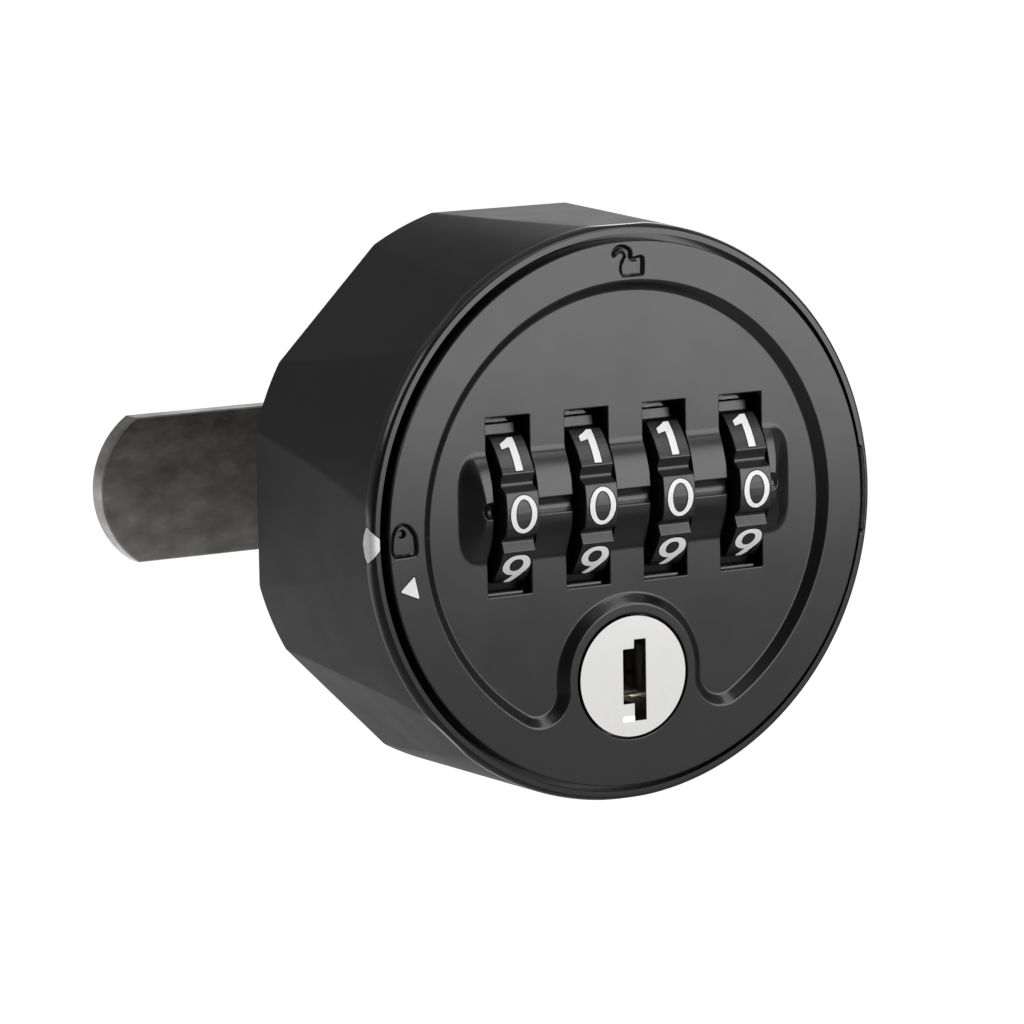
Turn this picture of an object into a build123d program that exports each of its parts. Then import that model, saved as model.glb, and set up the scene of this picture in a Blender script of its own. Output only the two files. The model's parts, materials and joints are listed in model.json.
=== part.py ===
"""Combination locker lock: a turning knob around a fixed dial face, with a cam behind the door.

Millimetres. The origin is the centre of the face that rests on the door, +Y points
into the cupboard and +Z is up. Depths are measured backwards from the dial face.
"""
from build123d import *
import math
import os

# Overall
running_gap = 0.3         # axial gap between the knob and what stands still
shaft_clearance = 0.05    # radial clearance of shafts, axles and screws in their holes
slide_clearance = 0.15    # side clearance of the slide and the springs in their channels
knob_turn = 90.0          # degrees, clockwise from the front

# Knob shell
lip_setback = 0.62        # lip behind the dial face
lip_ledge = 1.25          # lip's overhang beyond the bore
lip_width = 0.4
lip_notch_w = 8.2         # notch in its inner edge, opposite the pointer
lip_notch_d = 0.3
lip_notch_t = 0.5
lip_round_r = 0.5         # the outer edge's rounding, across
lip_round_depth = 1.1     # and along the axis
knob_draft = 0.55         # growth of the radius from the lip to the door
flat_count = 8
flat_cut_front = 0.13     # grip flats, below the round at the lip
flat_cut_back = 0.95      # and at the door
rear_bore_step = 0.4
shoulder_w = 2.8
shoulder_t = 1.7

# Dial face
face_edge_gap = 0.25      # between the face's edge and the lip
face_edge_round = 0.4
face_t = 2.2
recess_depth = 0.75
recess_margin = 1.86      # floor left round the hump's corners
recess_wall = 0.8         # width of its sloping wall
recess_horn_r = 2.1       # rounding of the two ends beside the key boss
recess_rim = 3.3          # recess floor's edge to the edge of the frame below
boss_land = 1.7           # key boss round the plug, at its foot
boss_overrun = 0.27       # by which the boss breaks through the recess wall
peg_r = 1.2
peg_l = 4.0
peg_angles = (45, 135, 225, 315)

# Barrel-shaped hump over the dials
hump_shift = -0.05        # its middle, to the right of the dials'
hump_end = 2.71           # beyond the outer slots
hump_rise = 0.35          # middle of its foot above the dials' axis
hump_foot_h = 9.5
hump_top_inset = 1.1      # at each end
hump_top_rise = 0.05
hump_top_h = 5.1
hump_height = 1.35
hump_round = 0.9
hump_foot_round = 0.6
index_rise = 0.25         # index groove above the dials' axis
index_width = 1.55
index_depth = 0.4
index_end = 1.16          # beyond the outer slots

# Dials
dial_count = 4
dial_pitch = 8.03
dial_proud = 1.81         # in front of the dial face
dial_z = 1.5
dial_r = 8.71
dial_width = 3.3
digit_count = 10
tooth_gap = 1.67          # width of the groove between two digits
tooth_depth = 0.7
slot_side_gap = 0.545     # beside a dial
slot_end_gap = 0.61       # above and below it, where the dial passes the plate's back
slot_rise = 0.33          # slots above the dials' axis
sleeve_end_gap = 0.43     # to the next dial's sleeve
sleeve_plate_gap = 0.3    # code sleeves to the dial face's back
sleeve_lead = 0.1         # the sleeve's rim on the left of its dial
sleeve_wall = 1.05        # under the gate
key_width = 1.2
key_height = 0.7
gate_width = 2.4
gate_depth = 1.3
axle_end_gap = 1.0        # axle end to the knob's bore
stack_spring_turns = 3

# Mechanism frame
frame_gap = 0.4           # round the frame, in the knob's bore
frame_wall = 2.15         # outside the window's corners and the key cylinder
frame_step_gap = 0.5      # round its back step, in the knob's shoulder
frame_step_t = 1.4
window_side_gap = 0.4     # beside the outer code sleeve
window_dial_gap = 0.6     # round the dials

# Detent leaf for the dials
leaf_t = 0.4
leaf_gap = 0.1            # nose to dial
leaf_nose = 0.2
leaf_strip_h = 1.7
leaf_strip_gap = 0.1      # above the window
leaf_finger_w = 2.6
leaf_tip = 1.0            # fingers' ends beyond the dials' axis
leaf_screw_x = 4.0
leaf_screw_r = 0.6
leaf_screw_l = 3.2
leaf_screw_head_r = 0.8
leaf_screw_head_t = 0.5

# Key cylinder
plug_head_r = 5.46
plug_head_t = 3.0
plug_face_gap = 0.24      # black ring round the plug's face
plug_step = 0.56          # behind its head
plug_end_inset = 0.1      # plug's end inside its sleeve
cylinder_wall = 0.99      # of the sleeve's mouth
cylinder_gap = 0.26       # sleeve to the dials' window
keyway_w = 2.4
keyway_h = 7.4
keyway_x = 0.15
keyway_drop = 0.38
keyway_recess = 0.9
key_slot_w = 1.9
key_slot_h = 5.0
key_slot_drop = 1.0       # its top below the keyway's
key_rib_w = 0.7
wafer_count = 5
wafer_first = 1.1         # first wafer behind the plug's head
wafer_end = 1.4           # last wafer to the plug's end
wafer_t = 0.6
wafer_w = 3.6
wafer_inset = 0.6         # wafer's ends inside the plug
wafer_window = 5.2
wafer_gap = 0.08
tail_inset = 1.0          # tail's rim inside the plug's
tail_t = 1.5
tail_gap = 0.75           # to the slide
tail_pin_r = 1.0
tail_pin_offset = 2.6
tail_pin_l = 1.6

# Locking slide and its spring
slide_t = 1.2
slide_lap = 0.31          # of the slide below the dials, in front of their rearmost point
slide_back_gap = 0.1      # to the frame's back face
slide_travel = 2.5
blade_w = 6.0
blade_inset = 0.2         # blade tip inside the frame's step, when open
slide_body_w = 12.0
fence_w = 2.0
fence_h = 2.15
fence_gap = 0.15          # fence bars to code sleeves
fence_reach = 0.9         # bars in front of the dials' axis
crossbar_h = 4.15
crossbar_margin = 1.2
spring_x = 11.5
spring_l = 7.3
spring_r = 1.1
spring_wire = 0.22
spring_turns = 5

# Drive plate and spindle
plate_t = 1.8
plate_gap = 0.1
plate_screw_r = 0.8
plate_screw_head_r = 1.3
plate_screw_head_t = 0.6
plate_screw_bite = 1.4
tenon = 7.0               # square of the spindle, in the plate and in the cam
spindle_head_w = 0.7      # spindle head's ledge against the plate
spindle_head_t = 0.9

# Base
pillar_angle = 60.0       # seen from the front, counterclockwise from +X
pillar_r = 3.0
base_gap = 0.6            # round the base, in the knob's rear bore
base_t = 2.8
stud_r = 9.5
stud_l = 14.5
stud_flat = 8.4
base_screw_r = 1.4
base_screw_head_r = 2.6
base_screw_head_t = 1.5
base_screw_bite = 5.1     # depth of its hole in the frame
ball_r = 1.25
ball_angle = 45.0
ball_gap = 0.05           # to the drive plate
ball_dimple = 0.35
ball_pocket_l = 5.8
ball_spring_wire = 0.2
ball_spring_turns = 3

# Nut, washer and cam behind the door
nut_wall = 2.5            # at its flats
nut_t = 4.0
nut_start = 8.0           # behind the door face
nut_chamfer = 1.2
washer_w = 2.8
washer_t = 0.8
washer_tooth_count = 12
washer_tooth_depth = 1.1
cam_t = 2.0
cam_w = 13.5
cam_reach = 33.2
cam_tip_ease = 1.35       # tip radius beyond half the cam's width
cam_edge = 0.25
spacer_inset = 0.4        # spacer's edge inside the stud's flat
spacer_t = 1.35
spacer_gap = 0.1
cam_washer_r = 5.6
cam_washer_t = 0.8
cam_screw_r = 2.0
cam_screw_l = 9.0
cam_screw_head_r = 3.6
cam_screw_head_t = 2.2
cam_screw_recess = 1.2
cam_screw_cross_w = 0.72

# Dials, code sleeves and their window
last_dial_x = dial_pitch * (dial_count - 1) / 2
dial_depth = dial_r - dial_proud
dial_back = dial_depth + dial_r
slot_width = dial_width + 2 * slot_side_gap
slot_height = 2 * (math.sqrt(dial_r ** 2 - (dial_depth - face_t) ** 2) + slot_end_gap)
slot_z = dial_z + slot_rise
slots_half = last_dial_x + slot_width / 2
sleeve_r = dial_depth - face_t - sleeve_plate_gap
dial_bore_r = sleeve_r + shaft_clearance
gate_floor = sleeve_r - gate_depth
axle_r = gate_floor - sleeve_wall - shaft_clearance
sleeve_l = dial_pitch - sleeve_end_gap
sleeve_end = last_dial_x - dial_width / 2 - sleeve_lead + sleeve_l
window_half = sleeve_end + window_side_gap
window_low = dial_z - dial_r - window_dial_gap
window_high = dial_z + dial_r + window_dial_gap
fence_top = dial_z - sleeve_r - fence_gap

# The hump and the key boss set the sunk field's size, and the field sets the plug's place
hump_half = slots_half + hump_end
hump_corner = math.hypot(hump_half - hump_shift, dial_z + hump_rise + hump_foot_h / 2)
plug_r = plug_head_r - plug_step
cylinder_r = plug_head_r + shaft_clearance + cylinder_wall
boss_r = plug_head_r + plug_face_gap + boss_land
boss_offset = boss_r - 2 * recess_wall - boss_overrun
recess_r = max(hump_corner + recess_margin, cylinder_r + cylinder_gap - window_low + boss_offset)
plug_z = boss_offset - recess_r

# Radii outwards from the mechanism
mechanism_r = max(math.hypot(window_half, window_high), cylinder_r - plug_z)
frame_r = max(mechanism_r + frame_wall, recess_r + recess_rim)
peg_radius = frame_r - 2 * peg_r
bore_r = frame_r + frame_gap
rear_bore_r = bore_r + rear_bore_step
shoulder_r = bore_r - shoulder_w
step_r = shoulder_r - frame_step_gap
plate_screw_radius = (shoulder_r + bore_r) / 2
pillar_radius = step_r - pillar_r - running_gap
lip_inner_r = bore_r + lip_ledge
lip_r = lip_inner_r + lip_width
face_r = lip_inner_r - face_edge_gap
knob_front_r = lip_r + lip_round_r
knob_back_r = knob_front_r + knob_draft
spindle_r = tenon / math.sqrt(2) + shaft_clearance
ball_radius = (spindle_r + stud_r) / 2
pillar_hole_r = base_screw_r + shaft_clearance

# Depths from the dial face to the cam
slide_front = dial_back - slide_lap
slide_back = slide_front + slide_t
step_back = slide_back + slide_back_gap
frame_front = face_t
frame_back = step_back - frame_step_t
cylinder_back = slide_front - tail_gap - tail_t - shaft_clearance
plug_back = cylinder_back - plug_end_inset
shoulder_front = frame_back + running_gap
shoulder_back = shoulder_front + shoulder_t
plate_back = shoulder_back + plate_t
base_front = plate_back + spindle_head_t + running_gap
face_to_door = base_front + base_t
stud_end = face_to_door + stud_l
cam_front = stud_end + spacer_gap + spacer_t + shaft_clearance
cam_back = cam_front + cam_t


def front_plane(depth):
    """Sketch plane seen from the front, at a depth behind the dial face."""
    return Plane.XZ.offset(face_to_door - depth)


def slab(outline, near, far):
    """Solid with an outline seen from the front, between two depths."""
    return extrude(front_plane(far) * outline, far - near)


def bar(r, near, far, x=0.0, z=0.0):
    """Round bar along the lock's axis, between two depths."""
    return slab(Pos(x, z) * Circle(r), near, far)


def box(left, right, low, high, near, far):
    """Box given by its sides, seen from the front, and two depths."""
    outline = Pos((left + right) / 2, (low + high) / 2) * Rectangle(right - left, high - low)
    return slab(outline, near, far)


def polar(radius, angle):
    """Point seen from the front, at an angle counterclockwise from +X."""
    turn = math.radians(angle)
    return radius * math.cos(turn), radius * math.sin(turn)


def along_dials(outline, left, right):
    """Solid along the dials' axis; the outline is drawn about that axis."""
    plane = Plane.YZ.offset(left)
    place = Pos(dial_depth - face_to_door, dial_z)
    return extrude(plane * place * outline, right - left)


def dial_x(index):
    """Centre of a dial, counted from the left."""
    return index * dial_pitch - last_dial_x


def fence_x(index):
    """Centre of the bare part of a dial's code sleeve."""
    return dial_x(index) + dial_pitch / 2


def coil(radius, wire, turns, length):
    """Helical spring of six-sided wire along Z, standing on the origin."""
    rise = length - 2 * wire
    path = Helix(pitch=rise / turns, height=rise, radius=radius)
    start = Plane(origin=path @ 0, z_dir=path % 0)
    return Pos(0, 0, wire) * sweep(start * RegularPolygon(wire, 6), path=path)


def pillar_places():
    """The two pillars stand opposite each other."""
    return [polar(pillar_radius, pillar_angle + side) for side in (0, 180)]


def plate_screw_places():
    """Four screws, halfway between the grip's main flats."""
    return [polar(plate_screw_radius, 45 + quarter * 90) for quarter in range(4)]


def shell_profile():
    """Half section of the knob's wall, as radius and position along the axis."""
    lip_y = lip_setback - face_to_door
    round_y = lip_y + lip_round_depth
    half = math.sqrt(0.5)
    round_middle = (lip_r + half * lip_round_r, round_y - half * lip_round_depth)
    ledge_y = face_t + running_gap - face_to_door
    outline = [
        (knob_front_r, round_y),
        (knob_back_r, -running_gap),
        (rear_bore_r, -running_gap),
        (rear_bore_r, shoulder_back - face_to_door),
        (shoulder_r, shoulder_back - face_to_door),
        (shoulder_r, shoulder_front - face_to_door),
        (bore_r, shoulder_front - face_to_door),
        (bore_r, ledge_y),
        (lip_inner_r, ledge_y),
        (lip_inner_r, lip_y),
        (lip_r, lip_y),
    ]
    edges = Polyline(*outline) + ThreePointArc(outline[-1], round_middle, outline[0])
    return make_face(edges)


def make_knob_shell():
    """Turned shell with eight drafted grip flats and two notches for the locking blade."""
    shell = revolve(shell_profile(), Axis.Y)
    flat_front = knob_front_r - flat_cut_front
    flat_back = knob_back_r - flat_cut_back
    grip = RegularPolygon(flat_back, flat_count, major_radius=False, rotation=180 / flat_count)
    taper = math.degrees(math.atan((flat_back - flat_front) / face_to_door))
    shell &= extrude(front_plane(face_to_door) * grip, face_to_door, taper=taper)
    notch_w = blade_w + 2 * running_gap
    notch = box(step_r, bore_r, -notch_w / 2, notch_w / 2, shoulder_front, shoulder_back)
    for angle in (0, 90):
        shell -= Rot(0, angle, 0) * notch
    shell -= lip_notch()
    for x, z in plate_screw_places():
        shell -= bar(plate_screw_r + shaft_clearance, shoulder_back - plate_screw_bite, shoulder_back, x, z)
    return shell


def lip_notch():
    """Shallow notch in the lip's inner edge, opposite the pointer, with slanting ends."""
    inner, outer = lip_inner_r, lip_inner_r + lip_notch_d
    half = lip_notch_w / 2
    short = half - lip_notch_d
    near_x = math.sqrt(inner ** 2 - half ** 2) - lip_notch_d
    wedge = Polygon((near_x, -half), (outer, -short), (outer, short), (near_x, half), align=None)
    ring = Circle(outer) & wedge
    return slab(ring, lip_setback, lip_setback + lip_notch_t)


def recess_outline(grow):
    """A disc less the key boss, with its two horns rounded; it can be grown all round."""
    outline = Circle(recess_r + grow) - Pos(0, plug_z) * Circle(boss_r - grow)
    horns = outline.vertices().sort_by(Axis.Y)[:2]
    return fillet(horns, recess_horn_r + grow)


def recess_cutter():
    """The sunk field, whose wall slopes out to the face."""
    floor = front_plane(recess_depth) * recess_outline(0)
    return loft([floor, front_plane(0) * recess_outline(recess_wall)])


def hump():
    """Barrel-shaped hump over the dials, without its foot rounding."""
    foot = Pos(hump_shift, dial_z + hump_rise) * Rectangle(2 * hump_half, hump_foot_h)
    top_half = hump_half - hump_top_inset
    top = Pos(hump_shift, dial_z + hump_top_rise) * Rectangle(2 * top_half, hump_top_h)
    body = loft([front_plane(recess_depth) * foot, front_plane(recess_depth - hump_height) * top], ruled=True)
    upper = body.edges().filter_by(lambda edge: edge.center().Y < recess_depth - face_to_door - 0.01)
    return fillet(upper, hump_round)


def index_groove():
    """Round-bottomed groove across the hump, with round ends."""
    r = (index_width ** 2 / 4 + index_depth ** 2) / (2 * index_depth)
    depth = recess_depth - hump_height + index_depth - r
    end = slots_half + index_end - index_width / 2
    centre = (depth - face_to_door, dial_z + index_rise)
    groove = extrude(Plane.YZ.offset(-end) * Pos(*centre) * Circle(r), 2 * end)
    for x in (-end, end):
        groove += Pos(x, *centre) * Sphere(r)
    return groove


def make_face_plate():
    """Dial face: sunk field, key boss, hump with its index groove, and four slots."""
    plate = bar(face_r, 0, face_t)
    rim = plate.edges().filter_by(lambda edge: edge.center().Y < -face_to_door + 0.01)
    plate = fillet(rim, face_edge_round)
    plate -= recess_cutter()
    plate += hump()
    foot_y = recess_depth - face_to_door
    foot = [
        edge for edge in plate.edges()
        if abs(edge.center().Y - foot_y) < 0.01
        and edge.geom_type == GeomType.LINE
    ]
    plate = fillet(foot, hump_foot_round)
    plate -= index_groove()
    plate -= bar(plug_head_r + plug_face_gap, 0, face_t, 0, plug_z)
    for index in range(dial_count):
        left = dial_x(index) - slot_width / 2
        low = slot_z - slot_height / 2
        plate -= box(left, left + slot_width, low, low + slot_height, -hump_height, face_t)
    for angle in peg_angles:
        plate += bar(peg_r, face_t, face_t + peg_l, *polar(peg_radius, angle))
    return plate


def make_mechanism_frame():
    """Cast frame that carries the dials, the key cylinder, the slide and the detent leaf."""
    frame = bar(frame_r, frame_front, frame_back) + bar(step_r, frame_back, step_back)
    frame -= box(-window_half, window_half, window_low, window_high, frame_front, step_back)
    frame -= bar(cylinder_r + shaft_clearance, frame_front, cylinder_back, 0, plug_z)
    frame -= bar(plug_r - tail_inset + running_gap, cylinder_back, step_back, 0, plug_z)
    axle_hole = Circle(axle_r + shaft_clearance)
    frame -= along_dials(axle_hole, -frame_r, frame_r)
    frame -= slide_channel()
    frame -= leaf_pocket()
    for angle in peg_angles:
        frame -= bar(peg_r + shaft_clearance, frame_front, frame_front + peg_l + running_gap,
                     *polar(peg_radius, angle))
    for x, z in pillar_places():
        frame -= bar(pillar_hole_r, step_back - base_screw_bite, step_back, x, z)
    return frame


def slide_channel():
    """Room for the slide, its fence bars and its spring over their whole travel."""
    gap = slide_clearance
    near = slide_front - gap
    half = slide_body_w / 2 + gap
    room = box(-half, half, -frame_r, window_low, near, step_back)
    left = fence_x(0) - crossbar_margin - gap
    right = fence_x(dial_count - 1) + crossbar_margin + gap
    low = fence_top - crossbar_h - slide_travel - gap
    room += box(left, right, low, window_low, near, step_back)
    spring_top = fence_top - crossbar_h
    pocket = spring_r + gap
    room += box(spring_x - pocket, spring_x + pocket, spring_top - spring_l, window_low,
                spring_depth() - pocket, step_back)
    return room


def spring_depth():
    """The slide spring pushes on the middle of the crossbar's edge."""
    return (slide_front + slide_back) / 2


def leaf_pocket():
    """Shallow pocket above the window, and the leaf's two screw holes."""
    half = dial_x(dial_count - 1) + leaf_finger_w / 2 + slide_clearance
    high = leaf_strip_low() + leaf_strip_h + slide_clearance
    near = dial_back + leaf_gap + leaf_nose
    room = box(-half, half, dial_z, high, near, step_back)
    for x in (-leaf_screw_x, leaf_screw_x):
        room += bar(leaf_screw_r + shaft_clearance, near - leaf_screw_l, near, x, leaf_screw_z())
    return room


def leaf_strip_low():
    """Lower edge of the leaf's fixed strip."""
    return window_high + leaf_strip_gap


def leaf_screw_z():
    """Middle of the leaf's fixed strip."""
    return leaf_strip_low() + leaf_strip_h / 2


def make_detent_leaf():
    """Spring comb behind the dials: a fixed strip and one nosed finger for each dial."""
    near = dial_back + leaf_gap + leaf_nose
    far = near + leaf_t
    half = dial_x(dial_count - 1) + leaf_finger_w / 2
    leaf = box(-half, half, leaf_strip_low(), leaf_strip_low() + leaf_strip_h, near, far)
    nose_y = leaf_nose + leaf_t
    for index in range(dial_count):
        x = dial_x(index)
        left = x - leaf_finger_w / 2
        leaf += box(left, left + leaf_finger_w, dial_z - leaf_tip, leaf_strip_low(), near, far)
        nose = Pos(dial_r + leaf_gap + nose_y, 0) * Circle(nose_y)
        tip = box(left, left + leaf_finger_w, dial_z - leaf_tip, dial_z + leaf_tip, near - nose_y, far)
        leaf += along_dials(nose, left, left + leaf_finger_w) & tip
    for x in (-leaf_screw_x, leaf_screw_x):
        leaf -= bar(leaf_screw_r + shaft_clearance, near, far, x, leaf_screw_z())
    return leaf


def make_leaf_screws():
    """Two small pan-head screws that hold the leaf."""
    seat = dial_back + leaf_gap + leaf_nose + leaf_t
    screws = []
    for x in (-leaf_screw_x, leaf_screw_x):
        shank = bar(leaf_screw_r, seat - leaf_t - leaf_screw_l + running_gap, seat, x, leaf_screw_z())
        head = bar(leaf_screw_head_r, seat, seat + leaf_screw_head_t, x, leaf_screw_z())
        screws.append(shank + head)
    return Compound(children=screws)


def make_dial_axle():
    """Plain axle through the four dials."""
    half = bore_r - axle_end_gap
    return along_dials(Circle(axle_r), -half, half)


def tooth_groove(angle):
    """V-shaped groove in a dial's rim, with walls at 45 degrees."""
    top = tooth_gap / 2
    bottom = top - tooth_depth
    outside = 1.0
    shape = Polygon((dial_r - tooth_depth, -bottom), (dial_r, -top), (dial_r + outside, -top),
                    (dial_r + outside, top), (dial_r, top), (dial_r - tooth_depth, bottom), align=None)
    return Rot(0, 0, angle) * shape


def make_dial_wheel(index):
    """Dial ring with ten flat lands for its digits."""
    step = 360 / digit_count
    rim = Circle(dial_r)
    for digit in range(digit_count):
        rim -= tooth_groove(step * (digit + 0.5))
    keyed = key_width + 2 * shaft_clearance
    reach = sleeve_r + key_height + shaft_clearance
    rim -= Circle(dial_bore_r) + Pos(reach / 2, 0) * Rectangle(reach, keyed)
    left = dial_x(index) - dial_width / 2
    return along_dials(rim, left, left + dial_width)


def make_code_sleeve(index):
    """Sleeve inside a dial, keyed to it, with a gate for the fence."""
    left = dial_x(index) - dial_width / 2 - sleeve_lead
    right = left + sleeve_l
    bore = Circle(axle_r + shaft_clearance)
    sleeve = along_dials(Circle(sleeve_r) - bore, left, right)
    reach = sleeve_r + key_height
    key = Pos(reach / 2, 0) * Rectangle(reach, key_width) - bore
    sleeve += along_dials(key, left, left + sleeve_lead + dial_width)
    gate = Pos(0, -gate_floor - gate_depth) * Rectangle(gate_width, 2 * gate_depth)
    sleeve -= along_dials(gate, left + sleeve_lead + dial_width + sleeve_lead, right)
    return sleeve


def make_stack_spring():
    """Coil round the axle that keeps the dials together."""
    room_left = -window_half
    room_right = dial_x(0) - dial_width / 2 - sleeve_lead - shaft_clearance
    radius = axle_r + spring_wire + 2 * shaft_clearance
    spring = coil(radius, spring_wire, stack_spring_turns, room_right - room_left)
    return Pos(room_left, dial_depth - face_to_door, dial_z) * Rot(0, 90, 0) * spring


def keyway_centre():
    """Middle of the keyway's mouth, seen from the front."""
    return keyway_x, plug_z - keyway_drop


def wafer_depths():
    """Front faces of the wafers, behind the plug's face."""
    first = plug_head_t + wafer_first
    last = plug_back - wafer_end - wafer_t
    pitch = (last - first) / (wafer_count - 1)
    return [first + pitch * index for index in range(wafer_count)]


def make_key_plug():
    """Turning plug: stepped head, keyway with its thin side slot, and slots for the wafers."""
    x, z = keyway_centre()
    plug = bar(plug_head_r, 0, plug_head_t, 0, plug_z) + bar(plug_r, plug_head_t, plug_back, 0, plug_z)
    half_h = keyway_h / 2
    plug -= box(x - keyway_w / 2, x + keyway_w / 2, z - half_h, z + half_h, 0, keyway_recess)
    slot_right = x + keyway_w / 2 - key_rib_w
    slot_top = z + half_h - key_slot_drop
    plug -= box(slot_right - key_slot_w + key_rib_w, slot_right, slot_top - key_slot_h, slot_top, 0, plug_back)
    plug -= box(slot_right, slot_right + key_rib_w, z - half_h, z + half_h, 0, plug_back)
    half_w = wafer_w / 2 + wafer_gap
    for depth in wafer_depths():
        plug -= box(-half_w, half_w, plug_z - plug_head_r, plug_z + plug_head_r,
                    depth - wafer_gap, depth + wafer_t + wafer_gap)
    return plug


def make_wafer_tumblers():
    """Flat wafers across the plug, each with a window for the key."""
    wafers = []
    reach = plug_r - wafer_inset
    for depth in wafer_depths():
        wafer = box(-wafer_w / 2, wafer_w / 2, plug_z - reach, plug_z + reach, depth, depth + wafer_t)
        window_low_z = plug_z - wafer_window / 2
        window_right = keyway_x + keyway_w / 2 + shaft_clearance
        wafer -= box(-keyway_w / 2, window_right, window_low_z, window_low_z + wafer_window,
                     depth, depth + wafer_t)
        wafers.append(wafer)
    return Compound(children=wafers)


def make_cylinder_sleeve():
    """Fixed sleeve that the plug turns in, with a wider mouth for the plug's head."""
    sleeve = bar(cylinder_r, face_t, cylinder_back, 0, plug_z)
    mouth = plug_head_t + shaft_clearance
    sleeve -= bar(plug_head_r + shaft_clearance, face_t, mouth, 0, plug_z)
    sleeve -= bar(plug_r + shaft_clearance, mouth, cylinder_back, 0, plug_z)
    return sleeve


def make_plug_tail():
    """Disc on the plug's back with an off-centre pin that works in the slide's window."""
    tail_back = cylinder_back + shaft_clearance + tail_t
    tail = bar(plug_r - tail_inset, plug_back, tail_back, 0, plug_z)
    return tail + bar(tail_pin_r, tail_back, tail_back + tail_pin_l, -tail_pin_offset, plug_z)


def make_locking_slide():
    """Plate with the locking blade, a window for the key's pin, and four fence bars."""
    half = slide_body_w / 2
    tip = -step_r + blade_inset
    blade = box(-blade_w / 2, blade_w / 2, tip, plug_z, slide_front, slide_back)
    pin_low = plug_z - tail_pin_r - slide_clearance
    pin_reach = tail_pin_offset + tail_pin_r + slide_clearance
    body = box(-half, half, pin_low - crossbar_margin, fence_top, slide_front, slide_back)
    left = fence_x(0) - crossbar_margin
    right = fence_x(dial_count - 1) + crossbar_margin
    body += box(left, right, fence_top - crossbar_h, fence_top, slide_front, slide_back)
    slide = body + blade
    slide -= box(-pin_reach, pin_reach, pin_low, plug_z + pin_reach + slide_travel,
                 slide_front, slide_back)
    for index in range(dial_count):
        x = fence_x(index)
        slide += box(x - fence_w / 2, x + fence_w / 2, fence_top - fence_h, fence_top,
                     dial_depth - fence_reach, slide_front)
    return slide


def make_slide_spring():
    """Spring under the crossbar that draws the blade out of the knob's notch."""
    low = fence_top - crossbar_h - spring_l
    spring = coil(spring_r - spring_wire, spring_wire, spring_turns, spring_l)
    return Pos(spring_x, spring_depth() - face_to_door, low) * spring


def arc_slot():
    """Slot in the drive plate that lets a pillar pass while the knob turns."""
    start, middle, end = [polar(pillar_radius, pillar_angle + knob_turn * half / 2) for half in range(3)]
    return SlotArc(ThreePointArc(start, middle, end), 2 * (pillar_r + running_gap))


def make_drive_plate():
    """Plate that joins the shell to the spindle, with two arc slots and detent dimples."""
    outline = Circle(rear_bore_r - plate_gap)
    for side in (0, 180):
        outline -= Rot(0, 0, side) * arc_slot()
    outline -= Rectangle(tenon, tenon)
    for place in plate_screw_places():
        outline -= Pos(*place) * Circle(plate_screw_r + shaft_clearance)
    plate = slab(outline, shoulder_back, plate_back)
    for angle in (ball_angle, ball_angle + knob_turn):
        x, z = polar(ball_radius, angle)
        plate -= Pos(x, plate_back + ball_r - ball_dimple - face_to_door, z) * Sphere(ball_r)
    return plate


def make_plate_screws():
    """Four screws through the drive plate into the knob's shoulder."""
    screws = []
    for x, z in plate_screw_places():
        shank = bar(plate_screw_r, shoulder_back - plate_screw_bite, plate_back, x, z)
        screws.append(shank + bar(plate_screw_head_r, plate_back, plate_back + plate_screw_head_t, x, z))
    return Compound(children=screws)


def make_spindle():
    """Shaft through the base, with a square tenon at each end."""
    spindle = slab(Rectangle(tenon, tenon), shoulder_back, plate_back)
    spindle += bar(spindle_r + spindle_head_w, plate_back, plate_back + spindle_head_t)
    spindle += bar(spindle_r, plate_back, cam_front)
    spindle += slab(Rectangle(tenon, tenon), cam_front, cam_back)
    spindle -= bar(cam_screw_r + shaft_clearance, cam_back + cam_washer_t - cam_screw_l, cam_back)
    return spindle


def make_base_body():
    """Base against the door: flange, two pillars and the stud with its flat."""
    base = bar(rear_bore_r - base_gap, base_front, face_to_door)
    stud = bar(stud_r, face_to_door, stud_end)
    base += stud & box(-stud_r, stud_r, -stud_flat, stud_r, face_to_door, stud_end)
    for x, z in pillar_places():
        base += bar(pillar_r, step_back, base_front, x, z)
        base -= bar(pillar_hole_r, step_back, face_to_door, x, z)
        sink = base_screw_head_t + shaft_clearance
        base -= base_screw_head(base_screw_head_r + shaft_clearance, pillar_hole_r, sink, x, z)
    base -= bar(spindle_r + shaft_clearance, base_front, stud_end)
    base -= bar(ball_r + shaft_clearance, base_front, base_front + ball_pocket_l,
                *polar(ball_radius, ball_angle))
    return base


def base_screw_head(wide, narrow, depth, x, z):
    """Countersunk cone with its wide end on the door face."""
    near = front_plane(face_to_door - depth) * Pos(x, z) * Circle(narrow)
    return loft([near, front_plane(face_to_door) * Pos(x, z) * Circle(wide)])


def make_base_screws():
    """Two countersunk screws through the pillars into the frame."""
    screws = []
    for x, z in pillar_places():
        head_front = face_to_door - base_screw_head_t
        shank = bar(base_screw_r, step_back - base_screw_bite + running_gap, head_front, x, z)
        screws.append(shank + base_screw_head(base_screw_head_r, base_screw_r, base_screw_head_t, x, z))
    return Compound(children=screws)


def make_detent_ball():
    """Ball that clicks into the drive plate's dimples."""
    x, z = polar(ball_radius, ball_angle)
    return Pos(x, plate_back + ball_gap + ball_r - face_to_door, z) * Sphere(ball_r)


def make_ball_spring():
    """Spring behind the detent ball."""
    x, z = polar(ball_radius, ball_angle)
    near = plate_back + ball_gap + 2 * ball_r
    far = base_front + ball_pocket_l
    spring = coil(ball_r - ball_spring_wire - shaft_clearance, ball_spring_wire, ball_spring_turns, far - near)
    return Pos(x, near - face_to_door, z) * Rot(-90, 0, 0) * spring


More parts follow.
